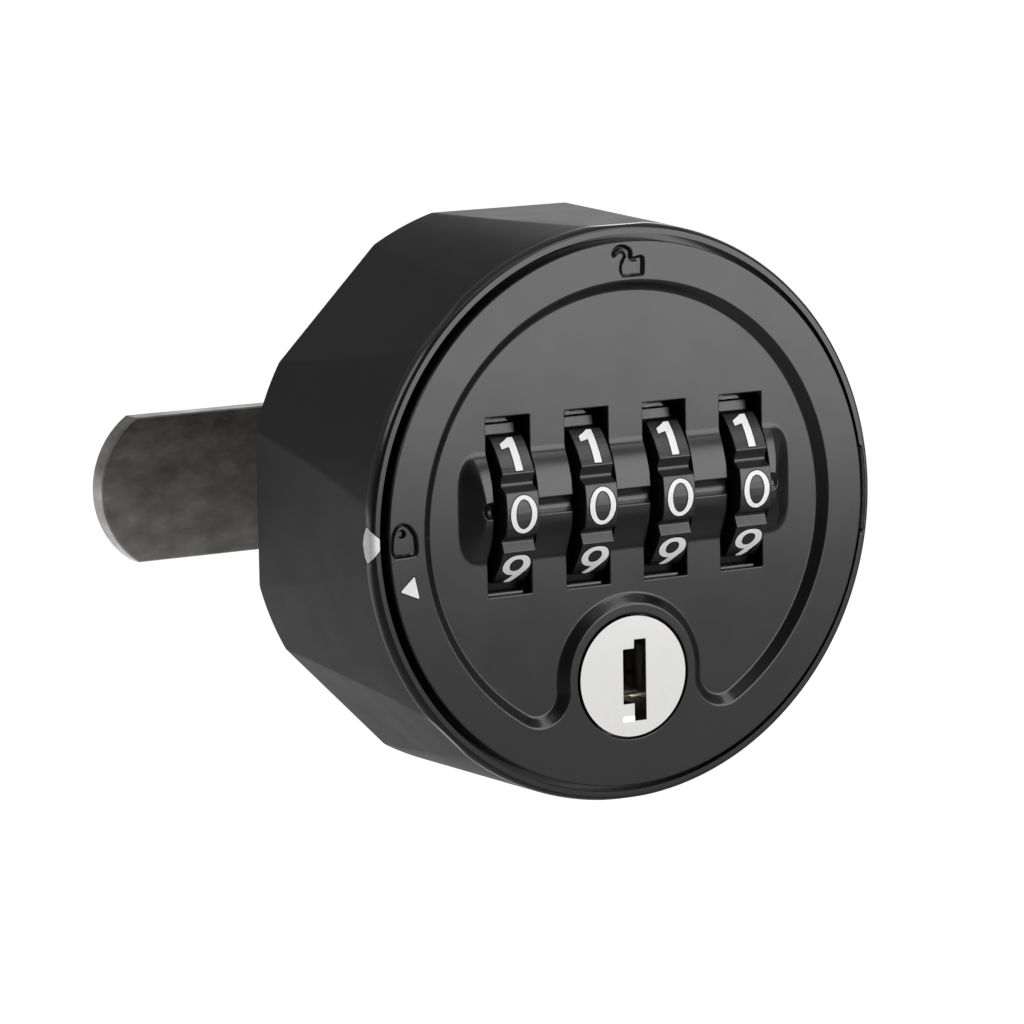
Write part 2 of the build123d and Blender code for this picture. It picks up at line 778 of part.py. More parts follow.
def make_fixing_nut():
    """Flat hexagon nut on the stud, chamfered on both faces."""
    near = face_to_door + nut_start
    apothem = stud_r + nut_wall
    outline = RegularPolygon(apothem, 6, major_radius=False) - Circle(stud_r + shaft_clearance)
    nut = slab(outline, near, near + nut_t)
    corner_r = 2 * apothem / math.sqrt(3)
    ring = Circle(2 * corner_r)
    for face, inner in ((near, near + nut_chamfer / 2), (near + nut_t, near + nut_t - nut_chamfer / 2)):
        flat = front_plane(face) * Circle(corner_r - nut_chamfer)
        full = front_plane(inner) * Circle(corner_r)
        waste = slab(ring, min(face, inner), max(face, inner)) - loft([flat, full])
        nut -= waste
    return nut


def make_lock_washer():
    """Toothed washer between the door and the nut."""
    far = face_to_door + nut_start
    washer_r = stud_r + washer_w
    outline = Circle(washer_r)
    notch = Rectangle(2 * washer_tooth_depth, washer_tooth_depth)
    for tooth in range(washer_tooth_count):
        outline -= Rot(0, 0, 360 / washer_tooth_count * tooth) * Pos(washer_r, 0) * notch
    outline -= Circle(stud_r + 2 * shaft_clearance)
    return slab(outline, far - washer_t, far)


def cam_outline():
    """Straight cam pointing left, round at the pivot, with a flat-arched tip."""
    half = cam_w / 2
    cam_tip_r = half + cam_tip_ease
    centre = cam_tip_r - cam_reach
    corner = centre - math.sqrt(cam_tip_r ** 2 - half ** 2)
    lines = Line((0, -half), (corner, -half))
    lines += ThreePointArc((corner, -half), (-cam_reach, 0), (corner, half))
    lines += Line((corner, half), (0, half))
    lines += ThreePointArc((0, half), (half, 0), (0, -half))
    return make_face(lines)


def make_cam():
    """Pressed steel cam with a square hole and broken edges."""
    cam = slab(cam_outline(), cam_front, cam_back)
    front_y = cam_front - face_to_door
    cam = chamfer(cam.edges().filter_by(lambda edge: abs(edge.center().Y - front_y) < 0.01), cam_edge / 2)
    return cam - slab(Rectangle(tenon + 2 * shaft_clearance, tenon + 2 * shaft_clearance), cam_front, cam_back)


def make_cam_spacer():
    """Plain washer between the stud's end and the cam."""
    ring = Circle(stud_flat - spacer_inset) - Circle(spindle_r + shaft_clearance)
    return slab(ring, stud_end + spacer_gap, stud_end + spacer_gap + spacer_t)


def make_cam_washer():
    """Washer under the cam's screw."""
    return slab(Circle(cam_washer_r) - Circle(cam_screw_r + shaft_clearance), cam_back, cam_back + cam_washer_t)


def make_cam_screw():
    """Screw that holds the cam, with a cross recess."""
    seat = cam_back + cam_washer_t
    end = seat + cam_screw_head_t
    screw = bar(cam_screw_r, seat - cam_screw_l + running_gap, seat)
    head = bar(cam_screw_head_r, seat, end)
    rim = head.edges().filter_by(lambda edge: edge.center().Y > end - face_to_door - 0.01)
    head = chamfer(rim, cam_screw_head_t / 2)
    arm = cam_screw_head_r
    cross = Rectangle(arm, cam_screw_cross_w) + Rectangle(cam_screw_cross_w, arm)
    return screw + head - slab(cross, end - cam_screw_recess, end)


def make_parts():
    """Every piece by its node's name."""
    parts = {
        "knob_shell": make_knob_shell(),
        "face_plate": make_face_plate(),
        "mechanism_frame": make_mechanism_frame(),
        "dial_axle": make_dial_axle(),
        "stack_spring": make_stack_spring(),
        "detent_leaf": make_detent_leaf(),
        "leaf_screws": make_leaf_screws(),
        "cylinder_sleeve": make_cylinder_sleeve(),
        "key_plug": make_key_plug(),
        "wafer_tumblers": make_wafer_tumblers(),
        "plug_tail": make_plug_tail(),
        "locking_slide": make_locking_slide(),
        "slide_spring": make_slide_spring(),
        "drive_plate": make_drive_plate(),
        "plate_screws": make_plate_screws(),
        "spindle": make_spindle(),
        "base_body": make_base_body(),
        "base_screws": make_base_screws(),
        "detent_ball": make_detent_ball(),
        "ball_spring": make_ball_spring(),
        "fixing_nut": make_fixing_nut(),
        "lock_washer": make_lock_washer(),
        "cam_spacer": make_cam_spacer(),
        "cam": make_cam(),
        "cam_washer": make_cam_washer(),
        "cam_screw": make_cam_screw(),
    }
    for index in range(dial_count):
        parts[f"dial_wheel_{index + 1}"] = make_dial_wheel(index)
        parts[f"code_sleeve_{index + 1}"] = make_code_sleeve(index)
    return parts


os.makedirs("parts", exist_ok=True)
for name, solid in make_parts().items():
    solid.label = name
    export_step(solid, f"parts/{name}.step")
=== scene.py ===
"""Looks of the combination locker lock: finishes, print, soft edges, stud thread, light and camera."""

import json
import math

import bpy
import numpy as np
from mathutils import Matrix, Vector
from mathutils.geometry import delaunay_2d_cdt


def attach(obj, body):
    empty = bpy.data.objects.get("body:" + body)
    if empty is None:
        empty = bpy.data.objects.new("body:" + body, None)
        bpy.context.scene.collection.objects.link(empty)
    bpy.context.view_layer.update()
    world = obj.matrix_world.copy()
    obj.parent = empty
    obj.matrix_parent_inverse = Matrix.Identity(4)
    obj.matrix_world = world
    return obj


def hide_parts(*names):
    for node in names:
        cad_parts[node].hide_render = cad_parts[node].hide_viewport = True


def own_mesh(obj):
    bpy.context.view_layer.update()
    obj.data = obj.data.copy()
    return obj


MM = 0.001
FACE_Y = -23.0            # dial face, in front of the door face

# Surroundings, darker to the left of the front, and the floor
WORLD_LIGHT = 0.31
DARK_SIDE = (-0.835, -0.55, 0.0)
DARK_FADE = (0.35, 0.8)    # how far a direction leans that way, where the light falls
DARK_SHARE = 0.2           # to this share of it
FLOOR_Z = -150
FLOOR_HALF = 4000
FLOOR_GREY = 0.45
FLOOR_WHITE = 0.92         # glow that the camera and the reflections see
FLOOR_FADE = (0.10, 0.30)  # metres behind the lock, where it sets in

# Camera, solved from the photograph: it looks at the dial face
CAMERA_AZIMUTH = -29.8034
CAMERA_ELEVATION = 9.1336
CAMERA_ROLL = -0.98861
CAMERA_DISTANCE = 487.358
CAMERA_SIDE = -10.5609
CAMERA_RISE = 0.44398
CAMERA_LENS = 192.99

# Soft boxes: place, target, width and height, in metres, and power in watts
FACE_POINT = (0, FACE_Y * MM, 0)
LAMPS = {
    "front_panel": ((0.0995, -0.1966, 0.046), (0, FACE_Y * MM, 0.046), 0.15, 0.148, 0.28),
    "upper_box": ((0.17, -0.30, 0.42), FACE_POINT, 0.25, 0.25, 0.6),
    "low_panel": ((0.0995, -0.1966, -0.0605), (0, FACE_Y * MM, -0.0605), 0.15, 0.065, 0.0203),
    "left_fill": ((-0.42, 0.05, 0.3), (0, 0, 0), 0.25, 0.25, 0.6),
    "top_box": ((-0.1, -0.1, 0.6), FACE_POINT, 0.4, 0.4, 0.3),
    "rim_box": ((0.30, 0.42, 0.12), (0, 0, 0), 0.25, 0.12, 0.2),
}

# Dial face; depths are behind its front plane. Its rim is smaller and sharper than in the CAD,
# where it is 24.8 and 0.4, so that the black gap round it is as wide as in the photo.
FACE_R = 24.45
FACE_ROUND = 0.12
FACE_T = 2.2
PEG_R = 1.2
PEG_RADIUS = 21.0
PEG_L = 4.0
RECESS_DEPTH = 0.75
RECESS_R = 20.1
RECESS_WALL = 0.8
RECESS_ROUND = 0.16
HORN_R = 2.1
BOSS_R = 7.4
PLUG_Z = -14.57
PLUG_HOLE_R = 5.7
HOLE_EDGE = 0.1
HUMP_LEFT = -17.0
HUMP_RIGHT = 16.9
HUMP_LOW = -2.9
HUMP_HIGH = 6.6
HUMP_H = 1.35
HUMP_END = 1.9            # run of the slope at each end
HUMP_END_ROUND = 0.14
HUMP_FOOT_ROUND = 0.16
HUMP_ROOM = 0.8           # round the hump, where its height is worked out
GROOVE_Z = 1.75
GROOVE_W = 1.55
GROOVE_D = 0.4
GROOVE_HALF = 14.625
GROOVE_ROUND = 0.06
FACE_POINTS = 540         # round its rim
PLUG_POINTS = 160         # round the plug's hole

# Dials and slots
DIAL_PITCH = 8.03
DIAL_Z = 1.5
DIAL_DEPTH = 6.9
DIAL_R = 8.71
DIAL_W = 3.3
SLOT_W = 4.39
SLOT_H = 15.89
SLOT_Z = 1.83
DIGIT_STROKE = 0.5
SLOT_EDGE = 0.12
SLOTS_HALF = 16.0         # beyond the outer slots
SILL_L = 3.9              # small ledge at each slot's lower edge
SILL_H = 0.15
SILL_DEPTH = 1.5
SILL_LEAN = 0.05
PRINT_T = 0.02
EDGE_SHADE_W = 0.08         # width of the dark line of painted shade round each printed mark

# Dial wheels, a little smaller than the CAD's, with half widths of the grooves between their lands
GROOVE_TOP = 0.835
GROOVE_BOTTOM = 0.13
GROOVE_DEEP = 0.66
WHEEL_R = DIAL_R - 0.03
WHEEL_EDGE = 0.1
LAND_ROUND = 0.09
WHEEL_BORE_R = 4.45
KEY_REACH = 5.15
KEY_HALF = 0.65

# Knob shell, radii and depths as in the CAD
LIP_IN = 25.05
LIP_R = 25.45
LIP_Y = -22.38
KNOB_FRONT_R = 25.95
KNOB_BACK_R = 26.5
ROUND_Y = -21.28
KNOB_BACK_Y = -0.3
FLAT_FRONT = 25.82
FLAT_BACK = 25.55
FLAT_ROUND = 0.05
REAR_BORE_R = 24.2
BORE_R = 23.8
LEDGE_Y = -20.5
INSIDE_R = 24.6           # within it the CAD's own faces are kept
LIP_ARC = 1.27            # along the lip's rounded corner
NOTCH_HALF = 4.1
NOTCH_D = 0.3
NOTCH_T = 0.5
LINE_HALF = 3.78          # white line in the notch
LINE_FRONT = 0.06
LINE_BACK = 0.04
MARK_ROUND = 0.16         # corners of the triangle and the pointer

# Stud behind the door and its thread
STUD_R = 9.5
STUD_FLAT = 8.4
THREAD_FRONT = 1.0
THREAD_BACK = 14.3
THREAD_PITCH = 1.1
THREAD_HEIGHT = 0.045
THREAD_ROOT = -0.04       # inside the stud
CAM_HALF = 0.007          # metres; half the cam's height, over which its painted light runs

# Engraved marks on the face: a sunk outline, the island left standing in it, and a well
MARK_DEPTH = 0.34
MARK_WALL = 0.34
ISLAND_WALL = 0.14
WELL_DEPTH = 1.2 * MARK_DEPTH
WELL_WALL = 0.2
CLOSED_OUTER = [(-24.36, -0.95), (-24.32, 0.1), (-24.18, 0.7), (-23.82, 1.22), (-23.3, 1.46), (-22.8, 1.42),
                (-22.3, 1.18), (-21.86, 0.62), (-21.6, 0.0), (-21.54, -1.1), (-21.7, -1.52), (-22.0, -1.66),
                (-23.72, -1.7), (-24.08, -1.55)]
CLOSED_ISLAND = [(-24.06, 0.0), (-24.09, -0.95), (-23.76, -1.33), (-22.4, -1.31), (-22.27, -1.1), (-22.25, 0.16),
                 (-22.42, 0.6), (-22.7, 1.03), (-23.15, 1.2), (-23.6, 1.04), (-23.88, 0.6)]
CLOSED_HOLE = (-23.2, 0.5, 0.42)
OPEN_OUTER = [(-1.68, 23.4), (-1.51, 23.82), (-1.15, 24.1), (-0.76, 24.2), (-0.25, 24.15), (0.18, 23.95),
              (0.45, 23.7), (0.57, 23.4), (0.55, 23.08), (0.8, 23.08), (1.35, 23.16), (1.67, 23.02), (1.8, 22.75),
              (1.78, 21.6), (1.7, 21.35), (1.44, 21.2), (-0.41, 21.2), (-0.65, 21.36), (-0.88, 21.75),
              (-0.91, 22.19), (-0.78, 22.72), (-0.58, 23.0), (-0.52, 23.2), (-0.72, 23.36), (-0.98, 23.28),
              (-1.33, 23.0), (-1.6, 23.1)]
OPEN_ISLAND = [(-0.62, 21.8), (-0.42, 21.44), (1.0, 21.48), (1.1, 21.6), (1.11, 22.5), (0.9, 22.66), (0.5, 22.62),
               (0.16, 22.8), (-0.02, 23.08), (-0.1, 23.42), (-0.3, 23.66), (-0.66, 23.82), (-0.96, 23.74),
               (-1.3, 23.44), (-1.2, 23.34), (-0.9, 23.58), (-0.62, 23.58), (-0.4, 23.44), (-0.24, 23.2),
               (-0.26, 22.95), (-0.5, 22.6), (-0.66, 22.2)]
# Each mark's box, left, right, low and high, with its outlines
MARKS = [
    ((-24.6, -21.3, -1.9, 1.7), CLOSED_OUTER, CLOSED_ISLAND, CLOSED_HOLE),
    ((-1.9, 2.0, 21.0, 24.4), OPEN_OUTER, OPEN_ISLAND, None),
]
DIMPLE = (-20.45, -0.05, 0.3)
DIMPLE_DEPTH = 0.12

# Printed marks
TRIANGLE = [(-22.04, -3.3), (-23.45, -4.58), (-21.6, -5.36)]
POINTER = [(1.54, 1.22), (2.07, 0.42), (2.29, -0.43), (2.03, -1.34), (1.51, -2.07), (0.03, -0.87), (0.03, 0.21)]

# Digits as outlines on the dial's rim, across and along it
ONE = [(0.06, 1.72), (0.58, 1.72), (0.52, -1.66), (-0.22, -1.66), (-0.16, 0.7), (-0.96, 0.5), (-0.95, 1.07),
       (-0.28, 1.46)]
NINE_OUTER = [(0.08, 1.53), (0.6, 1.46), (1.02, 1.22), (1.32, 0.74), (1.41, 0.1), (1.22, -0.42), (0.96, -0.78),
              (0.36, -1.72), (0.06, -1.98), (-0.28, -2.05), (-0.6, -1.9), (-0.22, -1.4), (0.06, -0.96),
              (-0.3, -0.92), (-0.66, -0.78), (-1.06, -0.42), (-1.28, 0.02), (-1.32, 0.5), (-1.16, 0.98),
              (-0.74, 1.36), (-0.34, 1.5)]
NINE_INNER = [(0.1, 1.06), (0.42, 0.96), (0.62, 0.7), (0.68, 0.28), (0.54, -0.08), (0.3, -0.34), (-0.12, -0.4),
              (-0.46, -0.2), (-0.62, 0.12), (-0.64, 0.56), (-0.46, 0.88), (-0.2, 1.04)]
NINE_SHARP = (10, 12)
NINE_TALL = 0.93          # the nine keeps clear of its land's edge
NINE_LIFT = 0.1


def mesh_object(name, verts, faces, normals=None):
    """Mesh given in millimetres, with its own vertex normals if there are any."""
    mesh = bpy.data.meshes.new(name)
    mesh.from_pydata((np.asarray(verts, float) * MM).tolist(), [], [tuple(int(i) for i in f) for f in faces])
    mesh.polygons.foreach_set("use_smooth", [True] * len(mesh.polygons))
    mesh.update()
    if normals is not None:
        mesh.normals_split_custom_set_from_vertices(np.asarray(normals, float).tolist())
    obj = bpy.data.objects.new(name, mesh)
    bpy.context.scene.collection.objects.link(obj)
    return obj


def add_piece(name, verts, faces, body, finish, normals=None):
    """A shown piece on its body and finish."""
    obj = mesh_object(name, verts, faces, normals)
    obj.data.materials.append(finish)
    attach(obj, body)
    return obj


def dial_x(index):
    """Middle of a dial across the face."""
    return (index - 1.5) * DIAL_PITCH


def unit(vectors):
    """Vectors scaled to length one."""
    return vectors / np.linalg.norm(vectors, axis=1)[:, None]


def facing(verts, faces, out):
    """Triangles turned so that their fronts look along a direction."""
    corners = verts[faces]
    across = np.cross(corners[:, 1] - corners[:, 0], corners[:, 2] - corners[:, 0])
    away = (across * out).sum(1) < 0
    return np.where(away[:, None], faces[:, ::-1], faces)


def quads(rows, count, closed=True, turned=False):
    """Faces between rows of points; turned ones look the other way."""
    faces = []
    for row in range(rows - 1):
        for k in range(count if closed else count - 1):
            a, b = row * count + k, row * count + (k + 1) % count
            faces.append((a, a + count, b + count, b) if turned else (a, b, b + count, a + count))
    return faces


def in_loop(points, loop):
    """Which points lie inside a closed outline."""
    x, z = points[:, 0], points[:, 1]
    inside = np.zeros(len(points), bool)
    for (x1, z1), (x2, z2) in zip(loop, np.roll(loop, -1, axis=0)):
        crosses = (z1 > z) != (z2 > z)
        rise = np.where(z2 == z1, 1e-12, z2 - z1)
        inside ^= crosses & (x < (x2 - x1) * (z - z1) / rise + x1)
    return inside


def loop_distance(points, loop):
    """Distance to a closed outline, negative inside."""
    best = np.full(len(points), 1e9)
    loop = np.asarray(loop, float)
    for start, end in zip(loop, np.roll(loop, -1, axis=0)):
        along = end - start
        t = np.clip(((points - start) @ along) / (along @ along), 0, 1)
        best = np.minimum(best, np.hypot(*(points - start - t[:, None] * along).T))
    return np.where(in_loop(points, loop), -best, best)


def smooth_loop(loop, count=6, sharp=()):
    """Closed outline rounded through its points; the sharp ones stay corners."""
    loop = np.asarray(loop, float)
    total = len(loop)
    out = []
    for i in range(total):
        a, b, c, d = (loop[(i + k) % total] for k in (-1, 0, 1, 2))
        if i in sharp:
            a = b
        if (i + 1) % total in sharp:
            d = c
        for step in range(count):
            t = step / count
            out.append(0.5 * (2 * b + (c - a) * t + (2 * a - 5 * b + 4 * c - d) * t ** 2
                              + (3 * b - a - 3 * c + d) * t ** 3))
    return np.array(out)


def along_loop(loop, spacing):
    """Closed outline with points added along its long sides."""
    loop = np.asarray(loop, float)
    out = []
    for start, end in zip(loop, np.roll(loop, -1, axis=0)):
        count = max(1, int(math.ceil(np.hypot(*(end - start)) / spacing)))
        out.extend(start + (end - start) * k / count for k in range(count))
    return np.array(out)


def unit_circle(turn):
    """Points on a circle of radius one."""
    return np.stack([np.cos(turn), np.sin(turn)], -1)


def circle_loop(x, z, r, count):
    """Closed ring of points."""
    return [x, z] + r * unit_circle(np.linspace(0, 2 * math.pi, count, endpoint=False))


def fill_region(outer, holes, extra=()):
    """Triangles between an outline and its holes, using extra points inside."""
    loops = [np.asarray(outer, float)] + [np.asarray(h, float) for h in holes]
    points = []
    edges = []
    for loop in loops:
        first = len(points)
        count = len(loop)
        points.extend(loop.tolist())
        edges.extend((first + k, first + (k + 1) % count) for k in range(count))
    if len(extra):
        keep = loop_distance(extra, loops[0]) < -0.02
        for hole in loops[1:]:
            keep &= loop_distance(extra, hole) > 0.02
        points.extend(extra[keep].tolist())
    verts, _, faces, _, _, _ = delaunay_2d_cdt([Vector(p) for p in points], edges, [], 0, 1e-7)
    verts = np.array([tuple(v) for v in verts])
    faces = np.array(faces)
    middle = verts[faces].mean(1)
    keep = in_loop(middle, loops[0])
    for hole in loops[1:]:
        keep &= ~in_loop(middle, hole)
    return verts, faces[keep]


def grid(left, right, low, high, dx, dz):
    """Staggered grid of points."""
    xs = np.arange(left, right, dx)
    zs = np.arange(low, high, dz)
    gx, gz = np.meshgrid(xs, zs)
    gx = gx + (np.arange(len(zs)) % 2)[:, None] * dx / 2
    return np.stack([gx.ravel(), gz.ravel()], -1)


def eased(u, w):
    """Zero below 0 and u above it, with the corner rounded over w each side."""
    return np.where(u < -w, 0, np.where(u > w, u, (u + w) ** 2 / (4 * w)))


def smooth_step(t):
    """Eased from 0 to 1, and flat beyond them."""
    t = np.clip(t, 0, 1)
    return t * t * (3 - 2 * t)


def edge_drop(into, radius):
    """Drop of a rounded edge, by the distance into its rounding."""
    into = np.clip(into, 0, radius * 0.999)
    return radius - np.sqrt(radius ** 2 - into ** 2)


def smooth_min(a, b, k):
    """Smaller of two heights with the crease rounded."""
    h = np.maximum(k - np.abs(a - b), 0) / k
    return np.minimum(a, b) - h * h * k / 4


def recess_distance(points):
    """Distance outside the sunk field's floor outline, with its two horns rounded."""
    boss = np.array([0.0, PLUG_Z])
    disc_r = RECESS_R - HORN_R
    boss_r = BOSS_R + HORN_R
    r = np.hypot(*points.T)
    away = points - boss
    q = np.hypot(*away.T)
    on_disc = points / np.maximum(r, 1e-9)[:, None] * disc_r
    on_boss = boss + away / np.maximum(q, 1e-9)[:, None] * boss_r
    best = np.full(len(points), 1e9)
    disc_ok = np.hypot(*(on_disc - boss).T) >= boss_r
    boss_ok = np.hypot(*on_boss.T) <= disc_r
    best = np.where(disc_ok, np.minimum(best, np.abs(r - disc_r)), best)
    best = np.where(boss_ok, np.minimum(best, np.abs(q - boss_r)), best)
    for horn in horn_centres():
        best = np.minimum(best, np.hypot(*(points - horn).T))
    inside = (r < disc_r) & (q > boss_r)
    return np.where(inside, -best, best) - HORN_R


def horn_centres():
    """Centres of the roundings at the two ends of the sunk field."""
    disc_r = RECESS_R - HORN_R
    boss_r = BOSS_R + HORN_R
    z = (disc_r ** 2 + PLUG_Z ** 2 - boss_r ** 2) / (2 * PLUG_Z)
    x = math.sqrt(disc_r ** 2 - z ** 2)
    return [np.array([-x, z]), np.array([x, z])]


def hump_height(x, z):
    """Height of the barrel-shaped hump above the sunk field's floor."""
    half = (HUMP_HIGH - HUMP_LOW) / 2
    middle = (HUMP_HIGH + HUMP_LOW) / 2
    barrel_r = (half ** 2 + HUMP_H ** 2) / (2 * HUMP_H)
    off = np.minimum(np.abs(z - middle), barrel_r * 0.9)
    barrel = (np.sqrt(barrel_r ** 2 - off ** 2) - barrel_r + HUMP_H) / HUMP_H
    end_x = np.minimum(x - HUMP_LEFT, HUMP_RIGHT - x) / HUMP_END
    out_x = eased(1 - end_x, HUMP_END_ROUND)
    out_z = 1 - barrel
    body = 1 - np.sqrt(out_x ** 2 + out_z ** 2 + 1e-12)
    return HUMP_H * eased(body, HUMP_FOOT_ROUND)


def groove_cut(x, z):
    """Height of the hump's index groove surface above its own bottom, or a large number outside it."""
    r = (GROOVE_W ** 2 / 4 + GROOVE_D ** 2) / (2 * GROOVE_D)
    q2 = np.maximum(np.abs(x) - GROOVE_HALF, 0) ** 2 + (z - GROOVE_Z) ** 2
    return r - np.sqrt(np.maximum(r * r - q2, 1e-6))


def sunk(points, outer, island, hole):
    """Depth of an engraved mark."""
    depth = MARK_DEPTH * smooth_step(-loop_distance(points, outer) / MARK_WALL)
    depth *= 1 - smooth_step(-loop_distance(points, island) / ISLAND_WALL + 0.5)
    if hole:
        x, z, r = hole
        well = smooth_step((r - np.hypot(points[:, 0] - x, points[:, 1] - z)) / WELL_WALL)
        depth = np.maximum(depth, WELL_DEPTH * well)
    return depth


def near_box(points, left, right, low, high):
    """Which points lie in a box."""
    x, z = points.T
    return (x > left) & (x < right) & (z > low) & (z < high)


def face_depth(points):
    """Depth of the dial face's surface behind its front plane."""
    points = np.asarray(points, float)
    x, z = points.T
    out = recess_distance(points)
    slope = (eased(out, RECESS_ROUND) - eased(out - RECESS_WALL, RECESS_ROUND)) / RECESS_WALL
    depth = RECESS_DEPTH * (1 - slope)
    on_hump = near_box(points, HUMP_LEFT - HUMP_ROOM, HUMP_RIGHT + HUMP_ROOM, HUMP_LOW - HUMP_ROOM,
                       HUMP_HIGH + HUMP_ROOM)
    hump = hump_height(x[on_hump], z[on_hump])
    groove = HUMP_H - GROOVE_D + groove_cut(x[on_hump], z[on_hump])
    depth[on_hump] -= smooth_min(hump, groove, GROOVE_ROUND)
    depth += edge_drop(np.hypot(x, z) - (FACE_R - FACE_ROUND), FACE_ROUND)
    depth += edge_drop(HOLE_EDGE - (np.hypot(x, z - PLUG_Z) - PLUG_HOLE_R), HOLE_EDGE)
    near = near_box(points, -SLOTS_HALF, SLOTS_HALF, SLOT_Z - SLOT_H / 2 - 1, SLOT_Z + SLOT_H / 2 + 1)
    away = np.abs((x[near] + 2 * DIAL_PITCH) % DIAL_PITCH - DIAL_PITCH / 2) - SLOT_W / 2
    beyond = np.abs(z[near] - SLOT_Z) - SLOT_H / 2
    gap = np.where((away > 0) & (beyond > 0), np.hypot(away, beyond), np.maximum(away, beyond))
    depth[near] += edge_drop(SLOT_EDGE - gap, SLOT_EDGE)
    for box, outer, island, hole in MARKS:
        at = near_box(points, *box)
        if at.any():
            depth[at] += sunk(points[at], smooth_loop(outer), smooth_loop(island, 4), hole)
    dx, dz, dr = DIMPLE
    return depth + DIMPLE_DEPTH * smooth_step(1 - np.hypot(x - dx, z - dz) / dr)


def face_normals(points):
    """Outward normals of the dial face from the slope of its depth."""
    step = 0.004
    along_x = (face_depth(points + [step, 0]) - face_depth(points - [step, 0])) / (2 * step)
    along_z = (face_depth(points + [0, step]) - face_depth(points - [0, step])) / (2 * step)
    return unit(np.stack([along_x, -np.ones(len(points)), along_z], -1))


def field_rows():
    """Rows of points along the sunk field's wall."""
    rows = []
    boss = np.array([0.0, PLUG_Z])
    left, right = horn_centres()
    start = math.atan2(right[1], right[0])
    end = math.atan2(left[1], left[0]) + 2 * math.pi
    to_boss = boss - right
    horn_end = math.atan2(to_boss[1], to_boss[0])
    boss_from = math.atan2(*(right - boss)[::-1])
    boss_to = math.atan2(*(left - boss)[::-1]) + 2 * math.pi
    for s in (-0.16, -0.08, 0.0, 0.08, 0.16, 0.4, 0.64, 0.72, 0.8, 0.88, 0.96):
        rows.append(unit_circle(np.linspace(start, end, 420)) * (RECESS_R + s))
        rows.append(boss + unit_circle(np.linspace(boss_from, boss_to, 90)) * (BOSS_R - s))
        turn = np.linspace(start, horn_end - 2 * math.pi if horn_end > start else horn_end, 36)
        curl = unit_circle(turn) * (HORN_R + s)
        rows.append(right + curl)
        rows.append((right + curl) * [-1, 1])
    return np.concatenate(rows)


def slot_loops(grow=0.0):
    """Outlines of the four slots, grown all round."""
    loops = []
    for index in range(4):
        left, right = dial_x(index) - SLOT_W / 2 - grow, dial_x(index) + SLOT_W / 2 + grow
        low, high = SLOT_Z - SLOT_H / 2 - grow, SLOT_Z + SLOT_H / 2 + grow
        loops.append(along_loop([(left, low), (right, low), (right, high), (left, high)], 0.16))
    return loops


def behind_face(points, depth):
    """Points at a depth behind the dial face's front plane."""
    return np.stack([points[:, 0], FACE_Y + np.broadcast_to(depth, len(points)), points[:, 1]], -1)


def wall(loop, near, far, inward):
    """Strip between two depths along an outline, facing in or out."""
    count = len(loop)
    verts = np.concatenate([behind_face(loop, near), behind_face(loop, far)])
    faces = []
    for k in range(count):
        n = (k + 1) % count
        quad = (k, n, count + n, count + k)
        faces.append(quad if inward else quad[::-1])
    return verts, faces


def flat_normals(loop, inward):
    """Normals of a wall whose outline is smooth."""
    along = np.roll(loop, -1, axis=0) - np.roll(loop, 1, axis=0)
    out = unit(np.stack([along[:, 1], np.zeros(len(loop)), -along[:, 0]], -1))
    if inward:
        out = -out
    return np.concatenate([out, out])


def sided(verts, faces):
    """Walls with hard corners: each face gets its own vertices and normal."""
    verts = np.asarray(verts)
    out_v, out_f, out_n = [], [], []
    for face in faces:
        quad = verts[list(face)]
        normal = np.cross(quad[1] - quad[0], quad[2] - quad[0])
        normal = normal / max(np.linalg.norm(normal), 1e-12)
        out_f.append(tuple(range(len(out_v), len(out_v) + len(quad))))
        out_v.extend(quad)
        out_n.extend([normal] * len(quad))
    return np.array(out_v), out_f, np.array(out_n)


def sill(left, low):
    """Small ledge at the back of a slot's lower edge; its front leans back."""
    right, high = left + SILL_L, low + SILL_H
    y0, y1, y2 = FACE_Y + SILL_DEPTH, FACE_Y + SILL_DEPTH + SILL_LEAN, FACE_Y + FACE_T
    verts = [(left, y0, low), (right, y0, low), (right, y1, high), (left, y1, high),
             (left, y2, high), (right, y2, high), (right, y2, low)]
    return sided(verts, [(0, 1, 2, 3), (3, 2, 5, 4), (1, 6, 5, 2)])


class Shape:
    """Collects mesh parts with their normals."""

    def __init__(self):
        self.verts, self.faces, self.normals = [], [], []

    def add(self, verts, faces, normals):
        """Adds a part."""
        first = len(self.verts)
        self.verts.extend(np.asarray(verts).tolist())
        self.faces.extend(tuple(int(i) + first for i in f) for f in faces)
        self.normals.extend(np.asarray(normals).tolist())


